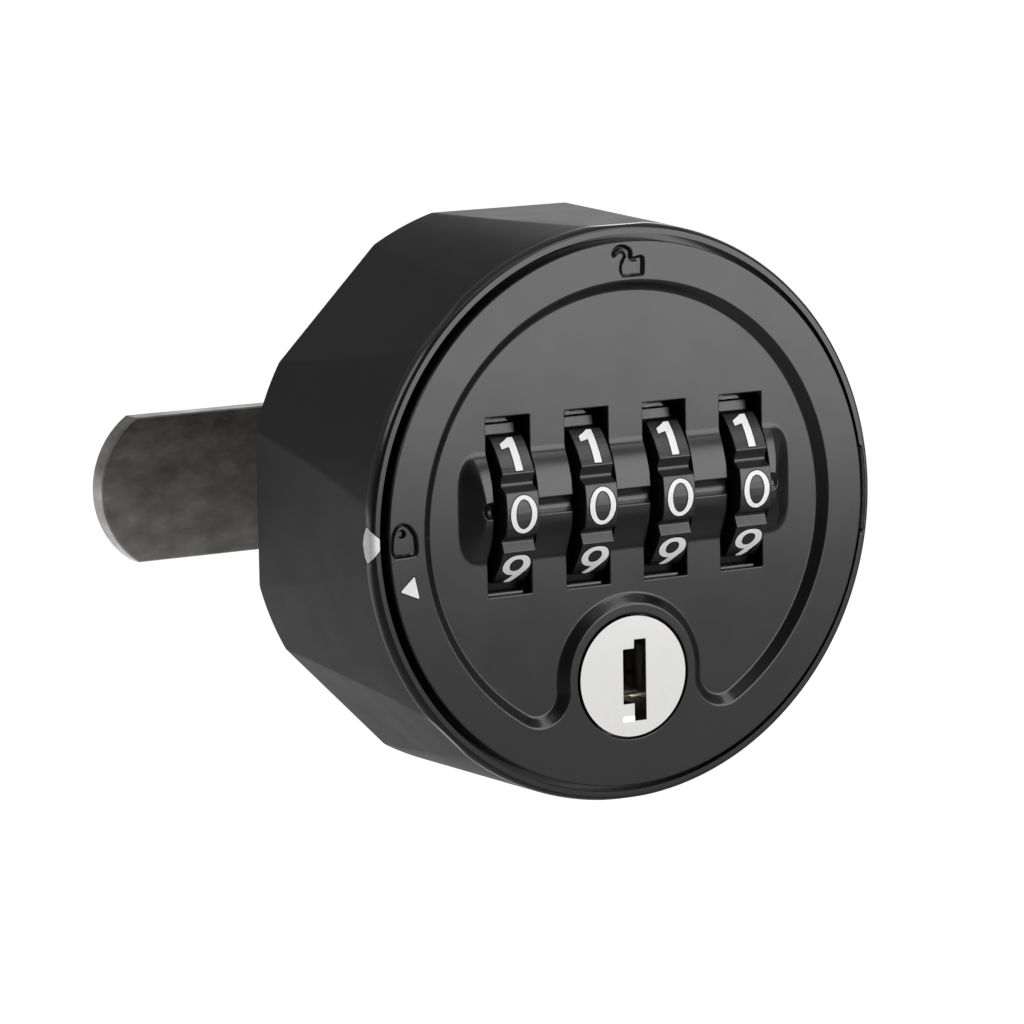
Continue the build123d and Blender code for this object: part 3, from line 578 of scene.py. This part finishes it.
def make_face(finish):
    """Dial face with rounded edges, rounded hump and engraved marks."""
    outer = circle_loop(0, 0, FACE_R - 0.0005, FACE_POINTS)
    hole = circle_loop(0, PLUG_Z, PLUG_HOLE_R, PLUG_POINTS)
    slots = slot_loops()
    extra = [
        field_rows(),
        grid(HUMP_LEFT - 0.5, HUMP_RIGHT + 0.5, HUMP_LOW - 0.5, HUMP_HIGH + 0.5, 0.26, 0.15),
        grid(HUMP_LEFT - 0.3, HUMP_LEFT + 2.4, HUMP_LOW - 0.3, HUMP_HIGH + 0.3, 0.14, 0.14),
        grid(-15.9, 15.9, GROOVE_Z - 0.95, GROOVE_Z + 0.95, 0.3, 0.06),
        *[grid(*mark[0], 0.06, 0.055) for mark in MARKS],
        grid(-20.9, -19.9, -0.5, 0.4, 0.09, 0.08),
        grid(-24.5, 24.5, -24.5, 24.5, 1.7, 1.5),
    ]
    for s in (0.025, 0.05, 0.08, 0.115, 0.16):
        extra.append(circle_loop(0, 0, FACE_R - s, FACE_POINTS))
    for grow in (0.025, 0.05, 0.085, 0.12, 0.16):
        extra.extend(slot_loops(grow))
    for s in (0.008, 0.03, 0.06, 0.1, 0.13):
        extra.append(circle_loop(0, PLUG_Z, PLUG_HOLE_R + s, PLUG_POINTS))
    flat, faces = fill_region(outer, [hole] + slots, np.concatenate(extra))
    verts = behind_face(flat, face_depth(flat))
    shape = Shape()
    shape.add(verts, facing(verts, faces, (0, -1, 0)), face_normals(flat))
    for loop in slots:
        shape.add(*sided(*wall(loop, face_depth(loop), FACE_T, True)))
    shape.add(*wall(hole, HOLE_EDGE, FACE_T, True), flat_normals(hole, True))
    shape.add(*wall(outer, FACE_ROUND, FACE_T, False), flat_normals(outer, False))
    flat, faces = fill_region(circle_loop(0, 0, FACE_R, 120), [circle_loop(0, PLUG_Z, PLUG_HOLE_R, 60)] + slots)
    verts = behind_face(flat, FACE_T)
    shape.add(verts, facing(verts, faces, (0, 1, 0)), np.tile([0.0, 1.0, 0.0], (len(flat), 1)))
    for angle in (45, 135, 225, 315):
        a = math.radians(angle)
        ring = circle_loop(PEG_RADIUS * math.cos(a), PEG_RADIUS * math.sin(a), PEG_R, 32)
        shape.add(*wall(ring, FACE_T, FACE_T + PEG_L, False), flat_normals(ring, False))
        shape.add(behind_face(ring, FACE_T + PEG_L), [tuple(range(31, -1, -1))], np.tile([0.0, 1.0, 0.0], (32, 1)))
    for index in range(4):
        shape.add(*sill(dial_x(index) - SLOT_W / 2, SLOT_Z - SLOT_H / 2))
    face = add_piece("face_plate_fine", shape.verts, shape.faces, "base", finish, shape.normals)
    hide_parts("face_plate")


def make_thread(finish):
    """Thread on the stud: rings of one turn each, cut away at the stud's flat."""
    turns = int((THREAD_BACK - THREAD_FRONT) / THREAD_PITCH - 1)
    reach = math.asin(STUD_FLAT / STUD_R)
    steps = np.linspace(-reach, math.pi + reach, 97)
    count = len(steps)
    shape = Shape()
    for k in range(turns):
        start = THREAD_FRONT + k * THREAD_PITCH
        y = start + (steps + reach) / (2 * math.pi) * THREAD_PITCH
        rows = []
        for off, height in ((0.0, THREAD_ROOT), (0.5, THREAD_HEIGHT), (1.0, THREAD_ROOT)):
            r = STUD_R + height
            rows.append(np.stack([r * np.cos(steps), y + off * THREAD_PITCH, r * np.sin(steps)], -1))
        ends = [(2 * count, count, 0), (count - 1, 2 * count - 1, 3 * count - 1)]
        shape.add(*sided(np.concatenate(rows), quads(3, count, closed=False, turned=True) + ends))
    add_piece("stud_thread", shape.verts, shape.faces, "base", finish, shape.normals)


def make_spring(frame, finish):
    """Slide's return spring, copied from the CAD onto the base."""
    obj = frame["nodes"]["slide_spring"]
    verts = np.array([tuple(obj.matrix_world @ v.co) for v in obj.data.vertices])
    spring = add_piece("slide_spring_live", verts / MM, [tuple(p.vertices) for p in obj.data.polygons], "base",
                       finish)
    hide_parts("slide_spring")
    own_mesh(spring)


def digit_outlines():
    """Outer and inner outlines of the ten digits."""
    def ring(x, z, a, b, wide=0.53, tall=0.37):
        circle = circle_loop(0, 0, 1, 48)
        return circle * [a, b] + [x, z], [circle * [a - wide, b - tall] + [x, z]]

    def band(points):
        points = np.asarray(points, float)
        along = unit(np.gradient(points, axis=0))
        side = np.stack([-along[:, 1], along[:, 0]], -1) * DIGIT_STROKE / 2
        return np.concatenate([points + side, (points - side)[::-1]]), []

    def arc(x, z, a, b, start, end, count=28):
        return unit_circle(np.radians(np.linspace(start, end, count))) * [a, b] + [x, z]

    outer, inner = (loop * [1, NINE_TALL] + [0, NINE_LIFT]
                    for loop in (smooth_loop(NINE_OUTER, 6, NINE_SHARP), smooth_loop(NINE_INNER, 5)))
    two = np.concatenate([arc(0, 0.68, 0.86, 0.8, 165, -35, 26), [[-0.95, -1.35]]])
    three_low = arc(-0.02, -0.66, 0.95, 0.82, 75, -150)
    five = np.concatenate([[[-0.55, 0.28]], arc(-0.1, -0.55, 0.98, 0.9, 100, -145)])
    return {
        0: [ring(0.08, -0.08, 1.33, 1.7)],
        1: [(np.array(ONE), [])],
        2: [band(two), band([(-1.1, -1.44), (1.1, -1.44)])],
        3: [band(arc(-0.05, 0.75, 0.8, 0.7, 150, -75)), band(three_low)],
        4: [band([(0.35, 1.6), (-1.0, -0.62)]), band([(-1.15, -0.72), (1.15, -0.72)]),
            band([(0.42, 1.66), (0.42, -1.66)])],
        5: [band([(-0.7, 1.44), (0.85, 1.44)]), band([(-0.62, 1.6), (-0.72, 0.2)]), band(five)],
        6: [(-outer, [-inner])],
        7: [band([(-1.05, 1.44), (1.08, 1.44)]), band([(0.9, 1.4), (-0.35, -1.66)])],
        8: [ring(0, 0.78, 0.95, 0.86, 0.48, 0.4), ring(0, -0.78, 1.15, 0.92, 0.5, 0.4)],
        9: [(outer, [inner])],
    }


def rim_point(x, along, angle, lift):
    """Point on a dial's rim: across it, along it and above it."""
    turn = math.radians(angle) + along / DIAL_R
    r = WHEEL_R + lift
    return np.stack([x, FACE_Y + DIAL_DEPTH - r * np.cos(turn), DIAL_Z + r * np.sin(turn)], -1)


def outset(loop, grow):
    """Closed outline grown by a distance, or shrunk if it is negative."""
    loop = np.asarray(loop, float)
    before = loop - np.roll(loop, 1, axis=0)
    after = np.roll(before, -1, axis=0)
    sides = []
    for edge in (before, after):
        length = np.maximum(np.linalg.norm(edge, axis=1), 1e-9)
        sides.append(np.stack([edge[:, 1], -edge[:, 0]], -1) / length[:, None])
    bend = np.maximum(1 + (sides[0] * sides[1]).sum(1), 0.6)
    ahead = np.roll(loop, -1, axis=0)
    area = (loop[:, 0] * ahead[:, 1] - loop[:, 1] * ahead[:, 0]).sum()
    return loop + (sides[0] + sides[1]) / bend[:, None] * grow * np.sign(area)


def stamp(shape, outer, inners, place, lift):
    """Printed patch laid on a surface by place(points, lift)."""
    low, high = np.min(outer, axis=0), np.max(outer, axis=0)
    flat, faces = fill_region(along_loop(outer, 0.25), [along_loop(i, 0.25) for i in inners],
                              grid(low[0], high[0], low[1], high[1], 0.3, 0.26))
    verts = place(flat, lift)
    out = unit(place(flat, lift + 1) - verts)
    shape.add(verts, facing(verts, faces, out[faces[:, 0]]), out)


def print_mark(top, edge, outer, inners, place):
    """White mark and the thin dark line of painted shade round it."""
    stamp(top, outer, inners, place, PRINT_T)
    # The dark line round the mark is painted shade.
    stamp(edge, outset(outer, EDGE_SHADE_W), [outset(i, -EDGE_SHADE_W) for i in inners], place, PRINT_T / 3)


def add_print(name, top, edge, body, finishes):
    """The two pieces of a printed mark: the white print and its dark line of painted shade."""
    add_piece(name, top.verts, top.faces, body, finishes["white_print"], top.normals)
    # The _edge piece is the dark line of painted shade.
    add_piece(name + "_edge", edge.verts, edge.faces, body, finishes["painted_edge_shade"], edge.normals)


def make_digits(finishes):
    """Ten printed digits on each dial, wrapped round its rim."""
    outlines = digit_outlines()
    for index in range(4):
        top, edge = Shape(), Shape()
        centre = dial_x(index)
        for digit, strokes in outlines.items():
            def place(points, lift, turn=36 * digit):
                return rim_point(centre + points[:, 0], points[:, 1], turn, lift)
            for outer, inners in strokes:
                print_mark(top, edge, outer, inners, place)
        add_print(f"digits_{index + 1}", top, edge, f"dial_{index + 1}", finishes)


def rounded(points, cut):
    """Closed outline with its corners rounded."""
    points = np.asarray(points, float)
    out = []
    for before, at, after in zip(np.roll(points, 1, axis=0), points, np.roll(points, -1, axis=0)):
        start = at + (before - at) * min(0.5, cut / np.hypot(*(before - at)))
        end = at + (after - at) * min(0.5, cut / np.hypot(*(after - at)))
        for t in np.linspace(0, 1, 4):
            out.append((1 - t) ** 2 * start + 2 * t * (1 - t) * at + t * t * end)
    return np.array(out)


def wheel_outline():
    """Rim of a dial, seen along its axis: ten lands and ten grooves."""
    points = []
    half = math.asin(GROOVE_TOP / WHEEL_R)
    r = WHEEL_R - GROOVE_DEEP
    for k in range(10):
        a, b = math.radians(36 * k - 18), math.radians(36 * k + 18)
        for turn in np.linspace(a + half, b - half, 7):
            points.append((WHEEL_R * math.cos(turn), WHEEL_R * math.sin(turn)))
        for side in (-GROOVE_BOTTOM, GROOVE_BOTTOM):
            points.append((r * math.cos(b) - side * math.sin(b), r * math.sin(b) + side * math.cos(b)))
    return rounded(points, LAND_ROUND)


def wheel_bore():
    """A dial's bore with the room for its key."""
    start = math.asin(KEY_HALF / WHEEL_BORE_R)
    ring = WHEEL_BORE_R * unit_circle(np.linspace(start, 2 * math.pi - start, 60))
    return np.concatenate([ring, [(KEY_REACH, -KEY_HALF), (KEY_REACH, KEY_HALF)]]) * [-1, 1]


def make_wheels(finish):
    """Dials with rounded lands and edges."""
    outline = wheel_outline()
    bore = wheel_bore()
    count = len(outline)
    edge = np.roll(outline, -1, axis=0) - outline
    out = np.stack([edge[:, 1], -edge[:, 0]], -1)
    out = unit(out + np.roll(out, 1, axis=0))
    for index in range(4):
        left = dial_x(index) - DIAL_W / 2

        def place(loop, x):
            return np.stack([np.full(len(loop), left + x), FACE_Y + DIAL_DEPTH - loop[:, 0], DIAL_Z + loop[:, 1]], -1)
        verts, normals = [], []
        for lean in np.radians([-90, -60, -30, 0, 0, 30, 60, 90]):
            x = WHEEL_EDGE * (1 + math.sin(lean))
            if len(verts) > 3:
                x += DIAL_W - 2 * WHEEL_EDGE
            verts.append(place(outset(outline, WHEEL_EDGE * (math.cos(lean) - 1)), x))
            normals.append(np.stack([np.full(count, math.sin(lean)), -out[:, 0] * math.cos(lean),
                                     out[:, 1] * math.cos(lean)], -1))
        shape = Shape()
        shape.add(np.concatenate(verts), quads(len(verts), count, turned=True), np.concatenate(normals))
        shape.add(*sided(np.concatenate([place(bore, 0), place(bore, DIAL_W)]), quads(2, len(bore), turned=True)))
        flat, faces = fill_region(outset(outline, -WHEEL_EDGE), [bore])
        for x, side in ((0, -1.0), (DIAL_W, 1.0)):
            end = place(flat, x)
            shape.add(end, facing(end, faces, (side, 0, 0)), np.tile([side, 0.0, 0.0], (len(end), 1)))
        wheel = add_piece(f"dial_wheel_fine_{index + 1}", shape.verts, shape.faces, f"dial_{index + 1}",
                          finish, shape.normals)
        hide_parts(f"dial_wheel_{index + 1}")


def shell_radius(turn, y):
    """Radius of the knob's outside: a drafted round cut by eight drafted flats."""
    drafted = KNOB_FRONT_R + (KNOB_BACK_R - KNOB_FRONT_R) * (y - ROUND_Y) / (KNOB_BACK_Y - ROUND_Y)
    over = np.clip((ROUND_Y - y) / (ROUND_Y - LIP_Y), 0, 1)
    lip = LIP_R + (KNOB_FRONT_R - LIP_R) * np.sqrt(1 - over ** 2)
    round_r = np.where(y < ROUND_Y, lip, drafted)
    quarter = math.radians(45)
    off = (turn + quarter / 2) % quarter - quarter / 2
    flat = (FLAT_FRONT + (FLAT_BACK - FLAT_FRONT) * (y - FACE_Y) / -FACE_Y) / np.cos(off)
    return smooth_min(round_r, flat, FLAT_ROUND)


def swept(profile, steps, turns, closed=True):
    """Surface round the lock's axis; profile gives radius and y from a step and the turn."""
    def place(t, turn):
        r, y = profile(t, turn)
        return np.stack([r * np.cos(turn), y + 0 * turn, r * np.sin(turn)], -1)
    small = 1e-4
    verts, normals = [], []
    for t in steps:
        verts.append(place(t, turns))
        along = place(t, turns + small) - place(t, turns - small)
        ahead = place(min(t + small, 1), turns) - place(max(t - small, 0), turns)
        normals.append(unit(np.cross(along, ahead)))
    return np.concatenate(verts), quads(len(steps), len(turns), closed), np.concatenate(normals)


def inner_faces(obj, limit):
    """Faces of a CAD node that lie inside a radius, in millimetres."""
    verts = np.array([tuple(obj.matrix_world @ v.co) for v in obj.data.vertices]) / MM
    inside = np.hypot(verts[:, 0], verts[:, 2]) < limit
    return sided(verts, [tuple(p.vertices) for p in obj.data.polygons if all(inside[i] for i in p.vertices)])


def notch_radius(turns):
    """Radius of the lip's inner edge, with the notch at 3 o'clock."""
    z = np.abs(LIP_IN * np.sin(turns))
    cut = np.clip((NOTCH_HALF - z) / NOTCH_D, 0, 1) * (np.cos(turns) > 0)
    return LIP_IN + NOTCH_D * cut


def make_shell(frame, finishes):
    """Knob shell: side with eight soft-edged flats, rounded lip, notch and the inside."""
    notch = np.radians(np.arange(-10.2, 10.21, 0.1))
    turns = np.unique(np.concatenate([np.linspace(0, 2 * math.pi, 900, endpoint=False), notch % (2 * math.pi)]))
    run = ROUND_Y - LIP_Y

    def side(t, turn):
        y = KNOB_BACK_Y + (ROUND_Y - KNOB_BACK_Y) * t
        return shell_radius(turn, y), y

    def corner(t, turn):
        y = ROUND_Y - run * math.sin(t * math.pi / 2)
        return shell_radius(turn, y), y

    def across(inner, outer, y):
        return lambda t, turn: (inner(turn) + (outer(turn) - inner(turn)) * t, y)

    def along(radius, near, far):
        return lambda t, turn: (radius(turn), near + (far - near) * t)

    def ring(r):
        return lambda turn: r + 0 * turn

    def rear(turn):
        return shell_radius(turn, KNOB_BACK_Y)
    body = Shape()
    body.add(*swept(side, np.linspace(0, 1, 40), turns))
    body.add(*swept(across(ring(REAR_BORE_R), rear, KNOB_BACK_Y), [0, 1], turns))
    body.add(*inner_faces(frame["nodes"]["knob_shell"], INSIDE_R))
    back = add_piece("knob_shell_fine", body.verts, body.faces, "knob", finishes["shell_paint"],
                     body.normals)
    lip = Shape()
    lip.add(*swept(corner, np.linspace(0, 1, 12), turns))
    lip.add(*swept(across(ring(LIP_R), notch_radius, LIP_Y), [0, 1], turns))
    lip.add(*swept(along(notch_radius, LIP_Y, LIP_Y + NOTCH_T), [0, 1], turns))
    lip.add(*swept(across(notch_radius, ring(LIP_IN - 0.001), LIP_Y + NOTCH_T), [0, 1], notch, False))
    lip.add(*swept(along(ring(LIP_IN), LIP_Y + NOTCH_T, LEDGE_Y), [0, 1], turns))
    lip.add(*swept(across(ring(LIP_IN), ring(BORE_R), LEDGE_Y), [0, 1], turns))
    front = add_piece("knob_lip_fine", lip.verts, lip.faces, "knob", finishes["black_paint"],
                      lip.normals)
    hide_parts("knob_shell")
    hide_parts("knob_shell")


def on_side(points, lift):
    """Place on the knob at 9 o'clock: distance back from the lip's inner edge, z, and the height above it."""
    p, z = points.T
    bend = LIP_R - LIP_IN
    run = ROUND_Y - LIP_Y
    lean = (1 - np.clip((p - bend) / LIP_ARC, 0, 1)) * math.pi / 2
    y = np.where(p < bend, LIP_Y, ROUND_Y - run * np.sin(lean)) + np.maximum(p - bend - LIP_ARC, 0)
    r = np.where(p < bend, LIP_IN + p, shell_radius(math.pi - np.arcsin(z / KNOB_FRONT_R), y))
    out = unit(np.stack([-np.cos(lean) / (KNOB_FRONT_R - LIP_R), -np.sin(lean) / run], -1))
    return np.stack([-np.sqrt(r ** 2 - z ** 2) + out[:, 0] * lift, y + out[:, 1] * lift, z], -1)


def on_face(points, lift):
    """Place on the dial face, and the height above it."""
    return behind_face(points, -lift)


def in_notch(points, lift):
    """Place on the notch's outer wall: y and z, and the height above it."""
    y, z = points.T
    r = LIP_IN + NOTCH_D - lift
    return np.stack([np.sqrt(r ** 2 - z ** 2), y, z], -1)


def make_marks(finishes):
    """White triangle on the face, white pointer on the knob's side and white line in the notch."""
    top, edge = Shape(), Shape()
    print_mark(top, edge, rounded(TRIANGLE, MARK_ROUND), [], on_face)
    add_print("face_triangle", top, edge, "base", finishes)
    top, edge = Shape(), Shape()
    print_mark(top, edge, rounded(POINTER, MARK_ROUND), [], on_side)
    add_print("side_pointer", top, edge, "knob", finishes)
    top = Shape()
    near, far = LIP_Y + LINE_FRONT, LIP_Y + NOTCH_T - LINE_BACK
    strip = [(near, -LINE_HALF), (near, LINE_HALF), (far, LINE_HALF), (far, -LINE_HALF)]
    stamp(top, along_loop(strip, 0.25), [], in_notch, PRINT_T)
    add_piece("notch_line", top.verts, top.faces, "knob", finishes["white_print"], top.normals)


def node_tree(name):
    """New material with its node tree emptied down to the shader."""
    material = bpy.data.materials.new(name)
    material.use_nodes = True
    tree = material.node_tree
    return material, tree, tree.nodes["Principled BSDF"]


def add(tree, kind, **inputs):
    """New node with its inputs set by name."""
    node = tree.nodes.new(kind)
    for key, value in inputs.items():
        node.inputs[key.replace("_", " ")].default_value = value
    return node


def maths(tree, operation, first, second):
    """Math node on a socket, and a socket or a number."""
    node = tree.nodes.new("ShaderNodeMath")
    node.operation = operation
    tree.links.new(first, node.inputs[0])
    if isinstance(second, float):
        node.inputs[1].default_value = second
    else:
        tree.links.new(second, node.inputs[1])
    return node.outputs[0]


def faded(tree, value, start, end, low=0.0, high=1.0):
    """Value eased from low to high between two limits."""
    node = add(tree, "ShaderNodeMapRange", From_Min=start, From_Max=end, To_Min=low, To_Max=high)
    node.interpolation_type = "SMOOTHSTEP"
    tree.links.new(value, node.inputs["Value"])
    return node.outputs["Result"]


def coordinates(tree):
    """Object coordinates, in metres."""
    return tree.nodes.new("ShaderNodeTexCoord").outputs["Object"]


def coordinate(tree, axis):
    """One of the object coordinates."""
    split = tree.nodes.new("ShaderNodeSeparateXYZ")
    tree.links.new(coordinates(tree), split.inputs[0])
    return split.outputs[axis]


def noise(tree, scale, detail=3.0, roughness=0.5, stretch=None):
    """Noise by object coordinates; scale is in features per metre."""
    vector = coordinates(tree)
    if stretch:
        mapping = tree.nodes.new("ShaderNodeMapping")
        mapping.inputs["Scale"].default_value = stretch
        tree.links.new(vector, mapping.inputs["Vector"])
        vector = mapping.outputs["Vector"]
    node = add(tree, "ShaderNodeTexNoise", Scale=scale, Detail=detail, Roughness=roughness)
    tree.links.new(vector, node.inputs["Vector"])
    return node.outputs["Fac"]


def ramp(tree, factor, stops):
    """Colour ramp from a list of (position, colour)."""
    node = tree.nodes.new("ShaderNodeValToRGB")
    tree.links.new(factor, node.inputs["Fac"])
    elements = node.color_ramp.elements
    while len(elements) < len(stops):
        elements.new(0.5)
    for element, (position, colour) in zip(elements, stops):
        element.position = position
        element.color = (*colour, 1.0)
    return node.outputs["Color"]


def vary(tree, shader, socket, factor, low, high, end=0.7):
    """Lets a factor run one of the shader's sockets from low to high."""
    tree.links.new(ramp(tree, factor, [(0.3, low), (end, high)]), shader.inputs[socket])


def grey(value):
    """Neutral colour."""
    return (value, value, value)


def bump(tree, shader, height, distance):
    """Bump from a height signal; the distance is in metres."""
    node = add(tree, "ShaderNodeBump", Strength=1.0, Distance=distance)
    tree.links.new(height, node.inputs["Height"])
    tree.links.new(node.outputs["Normal"], shader.inputs["Normal"])


def black_paint(name, rough, specular):
    """Semi-gloss black paint on a casting: faint orange peel, faint cloudiness in the gloss."""
    material, tree, shader = node_tree(name)
    shader.inputs["Specular IOR Level"].default_value = specular
    vary(tree, shader, "Base Color", noise(tree, 60, 2.0), (0.0055, 0.0055, 0.0058), (0.0075, 0.0075, 0.0072))
    vary(tree, shader, "Roughness", noise(tree, 240), grey(rough), grey(rough + 0.04))
    bump(tree, shader, noise(tree, 900, 2.0), 0.000004)
    return material


def dial_plastic():
    """Moulded black dials, a little glossier than the paint."""
    material, tree, shader = node_tree("dial_black")
    vary(tree, shader, "Base Color", noise(tree, 300, 2.0), grey(0.006), grey(0.009))
    vary(tree, shader, "Roughness", noise(tree, 600, 2.0), grey(0.24), grey(0.30))
    bump(tree, shader, noise(tree, 1500, 2.0), 0.000003)
    return material


def white_print():
    """Thick white print."""
    material, tree, shader = node_tree("white_print")
    speck = noise(tree, 900, 2.0)
    vary(tree, shader, "Base Color", speck, grey(0.9), grey(0.94), 0.6)
    vary(tree, shader, "Roughness", speck, grey(0.5), grey(0.42), 0.6)
    return material


def painted_edge_shade():
    """Dark line round the print: painted shade standing in for the shadow of an engraved edge."""
    material, tree, shader = node_tree("painted_edge_shade")
    shader.inputs["Specular IOR Level"].default_value = 0.1
    speck = noise(tree, 900, 2.0)
    vary(tree, shader, "Base Color", speck, grey(0.002), grey(0.004))
    vary(tree, shader, "Roughness", speck, grey(0.7), grey(0.8))
    return material


def metal(name, dark, light, rough_low, rough_high, scale=500, bump_m=0.000002):
    """Metal with a mottled tone and gloss."""
    material, tree, shader = node_tree(name)
    shader.inputs["Metallic"].default_value = 1.0
    tone = noise(tree, scale, 4.0, 0.6)
    vary(tree, shader, "Base Color", tone, dark, light)
    vary(tree, shader, "Roughness", tone, grey(rough_high), grey(rough_low))
    bump(tree, shader, noise(tree, scale * 3, 3.0, 0.6), bump_m)
    return material


def mottled_steel_with_painted_light():
    """Dark plated steel of the cam, mottled, with painted light that makes it lighter towards its lower inner side.
    """
    material, tree, shader = node_tree("cam_steel")
    shader.inputs["Metallic"].default_value = 0.4
    # Painted light: the cam's base colour lightens towards its lower side.
    painted_light_below = add(tree, "ShaderNodeMapRange", From_Min=CAM_HALF, From_Max=-CAM_HALF, To_Min=-0.25, To_Max=0.4)
    tree.links.new(coordinate(tree, "Z"), painted_light_below.inputs["Value"])
    spots = noise(tree, 260, 5.0, 0.65, (1, 1, 1.6))
    tone = ramp(tree, maths(tree, "ADD", painted_light_below.outputs["Result"], spots),
                [(0.2, (0.13, 0.125, 0.115)), (0.5, (0.30, 0.29, 0.27)), (0.75, (0.5, 0.49, 0.46)),
                 (1.0, (0.8, 0.78, 0.74))])
    tree.links.new(tone, shader.inputs["Base Color"])
    vary(tree, shader, "Roughness", spots, grey(0.42), grey(0.3))
    bump(tree, shader, noise(tree, 900, 3.0, 0.6), 0.000002)
    return material


def materials():
    """One finish for each material slot of the record, and the print."""
    return {
        "black_paint": black_paint("black_paint", 0.2, 0.5),
        "shell_paint": black_paint("shell_paint", 0.45, 0.24),
        "dial_black": dial_plastic(),
        "white_print": white_print(),
        "painted_edge_shade": painted_edge_shade(),
        "plug_nickel": metal("plug_nickel", (0.83, 0.825, 0.81), (0.87, 0.865, 0.85), 0.12, 0.16, 900),
        "brass": metal("brass", (0.58, 0.53, 0.42), (0.74, 0.69, 0.57), 0.25, 0.38),
        "zinc_cast": metal("zinc_cast", grey(0.12), grey(0.18), 0.42, 0.55, 700, 0.000008),
        "zinc_plated": metal("zinc_plated", (0.50, 0.49, 0.46), (0.62, 0.61, 0.58), 0.24, 0.36),
        "cam_steel": mottled_steel_with_painted_light(),
        "spring_steel": metal("spring_steel", grey(0.52), grey(0.66), 0.2, 0.3),
    }


def dress(frame, finishes):
    """Gives every CAD node its slot's finish."""
    for part in frame["record"]["subparts"]:
        obj = frame["nodes"][part["node"]]
        obj.data.materials.clear()
        obj.data.materials.append(finishes[part["material_slot"]])


def photo_axes():
    """Camera position, in metres, and its right, up and back directions."""
    az = math.radians(CAMERA_AZIMUTH)
    el = math.radians(CAMERA_ELEVATION)
    roll = math.radians(CAMERA_ROLL)
    back = Vector((math.sin(az) * math.cos(el), -math.cos(az) * math.cos(el), math.sin(el)))
    level = (-back).cross(Vector((0, 0, 1))).normalized()
    above = level.cross(-back)
    right = math.cos(roll) * level + math.sin(roll) * above
    up = -math.sin(roll) * level + math.cos(roll) * above
    place = Vector((0, FACE_Y, 0)) + back * CAMERA_DISTANCE + level * CAMERA_SIDE + above * CAMERA_RISE
    return place * MM, right, up, back


def make_camera():
    """Camera at the photograph's view."""
    place, right, up, back = photo_axes()
    data = bpy.data.cameras.new("camera")
    data.lens = CAMERA_LENS
    data.sensor_width = 36.0
    data.clip_start = 0.05
    camera = bpy.data.objects.new("camera", data)
    turn = Matrix((right, up, back)).transposed()
    camera.matrix_world = Matrix.Translation(place) @ turn.to_4x4()
    bpy.context.scene.collection.objects.link(camera)
    bpy.context.scene.camera = camera
    bpy.context.scene.view_settings.view_transform = "Standard"


def area_lamp(name, place, target, width, height, power):
    """Soft box aimed at a point."""
    data = bpy.data.lights.new(name, "AREA")
    data.shape = "RECTANGLE"
    data.size = width
    data.size_y = height
    data.energy = power
    lamp = bpy.data.objects.new(name, data)
    lamp.location = place
    lamp.rotation_euler = (Vector(target) - Vector(place)).to_track_quat("-Z", "Y").to_euler()
    bpy.context.scene.collection.objects.link(lamp)


def seen_ray(tree):
    """One for camera, glossy and transmission rays."""
    path = tree.nodes.new("ShaderNodeLightPath")
    total = path.outputs["Is Camera Ray"]
    for name in ("Is Glossy Ray", "Is Transmission Ray"):
        total = maths(tree, "MAXIMUM", total, path.outputs[name])
    return total


def make_world():
    """Plain surroundings, darker on one side."""
    world = bpy.data.worlds.new("studio")
    bpy.context.scene.world = world
    world.use_nodes = True
    tree = world.node_tree
    background = tree.nodes["Background"]
    background.inputs["Color"].default_value = (1, 1, 1, 1)
    side = tree.nodes.new("ShaderNodeVectorMath")
    side.operation = "DOT_PRODUCT"
    side.inputs[1].default_value = DARK_SIDE
    tree.links.new(tree.nodes.new("ShaderNodeTexCoord").outputs["Generated"], side.inputs[0])
    light = faded(tree, side.outputs["Value"], *DARK_FADE, WORLD_LIGHT, DARK_SHARE * WORLD_LIGHT)
    tree.links.new(light, background.inputs["Strength"])


def make_floor():
    """Plain white floor well below the lock; it takes the lock's shadow."""
    material, tree, shader = node_tree("floor")
    shader.inputs["Base Color"].default_value = (*grey(FLOOR_GREY), 1)
    shader.inputs["Roughness"].default_value = 0.9
    shader.inputs["Specular IOR Level"].default_value = 0.0
    glow = add(tree, "ShaderNodeEmission")
    level = maths(tree, "MULTIPLY", seen_ray(tree), FLOOR_WHITE)
    level = maths(tree, "MULTIPLY", level, faded(tree, coordinate(tree, "Y"), *FLOOR_FADE))
    tree.links.new(level, glow.inputs["Strength"])
    both = tree.nodes.new("ShaderNodeAddShader")
    tree.links.new(shader.outputs[0], both.inputs[0])
    tree.links.new(glow.outputs[0], both.inputs[1])
    tree.links.new(both.outputs[0], tree.nodes["Material Output"].inputs[0])
    corners = [(x * FLOOR_HALF, y * FLOOR_HALF, FLOOR_Z) for x, y in ((-1, -1), (1, -1), (1, 1), (-1, 1))]
    floor = mesh_object("floor", corners, [(0, 1, 2, 3)])
    floor.data.materials.append(material)


def make_lights():
    """Soft front panel whose lower edge fades over the face, a top light, and the surroundings."""
    for name, values in LAMPS.items():
        area_lamp(name, *values)
    make_world()


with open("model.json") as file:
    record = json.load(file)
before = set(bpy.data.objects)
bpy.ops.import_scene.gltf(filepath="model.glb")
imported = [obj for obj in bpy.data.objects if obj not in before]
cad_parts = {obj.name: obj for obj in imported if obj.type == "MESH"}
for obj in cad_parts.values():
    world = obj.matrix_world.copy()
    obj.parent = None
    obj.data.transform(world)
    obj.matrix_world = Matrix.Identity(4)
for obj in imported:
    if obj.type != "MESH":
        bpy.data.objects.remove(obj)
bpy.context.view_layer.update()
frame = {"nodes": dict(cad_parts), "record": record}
finishes = materials()
dress(frame, finishes)
make_face(finishes["black_paint"])
make_wheels(finishes["dial_black"])
make_digits(finishes)
make_shell(frame, finishes)
make_marks(finishes)
make_spring(frame, finishes["spring_steel"])
make_thread(finishes["zinc_cast"])
make_camera()
make_floor()
make_lights()
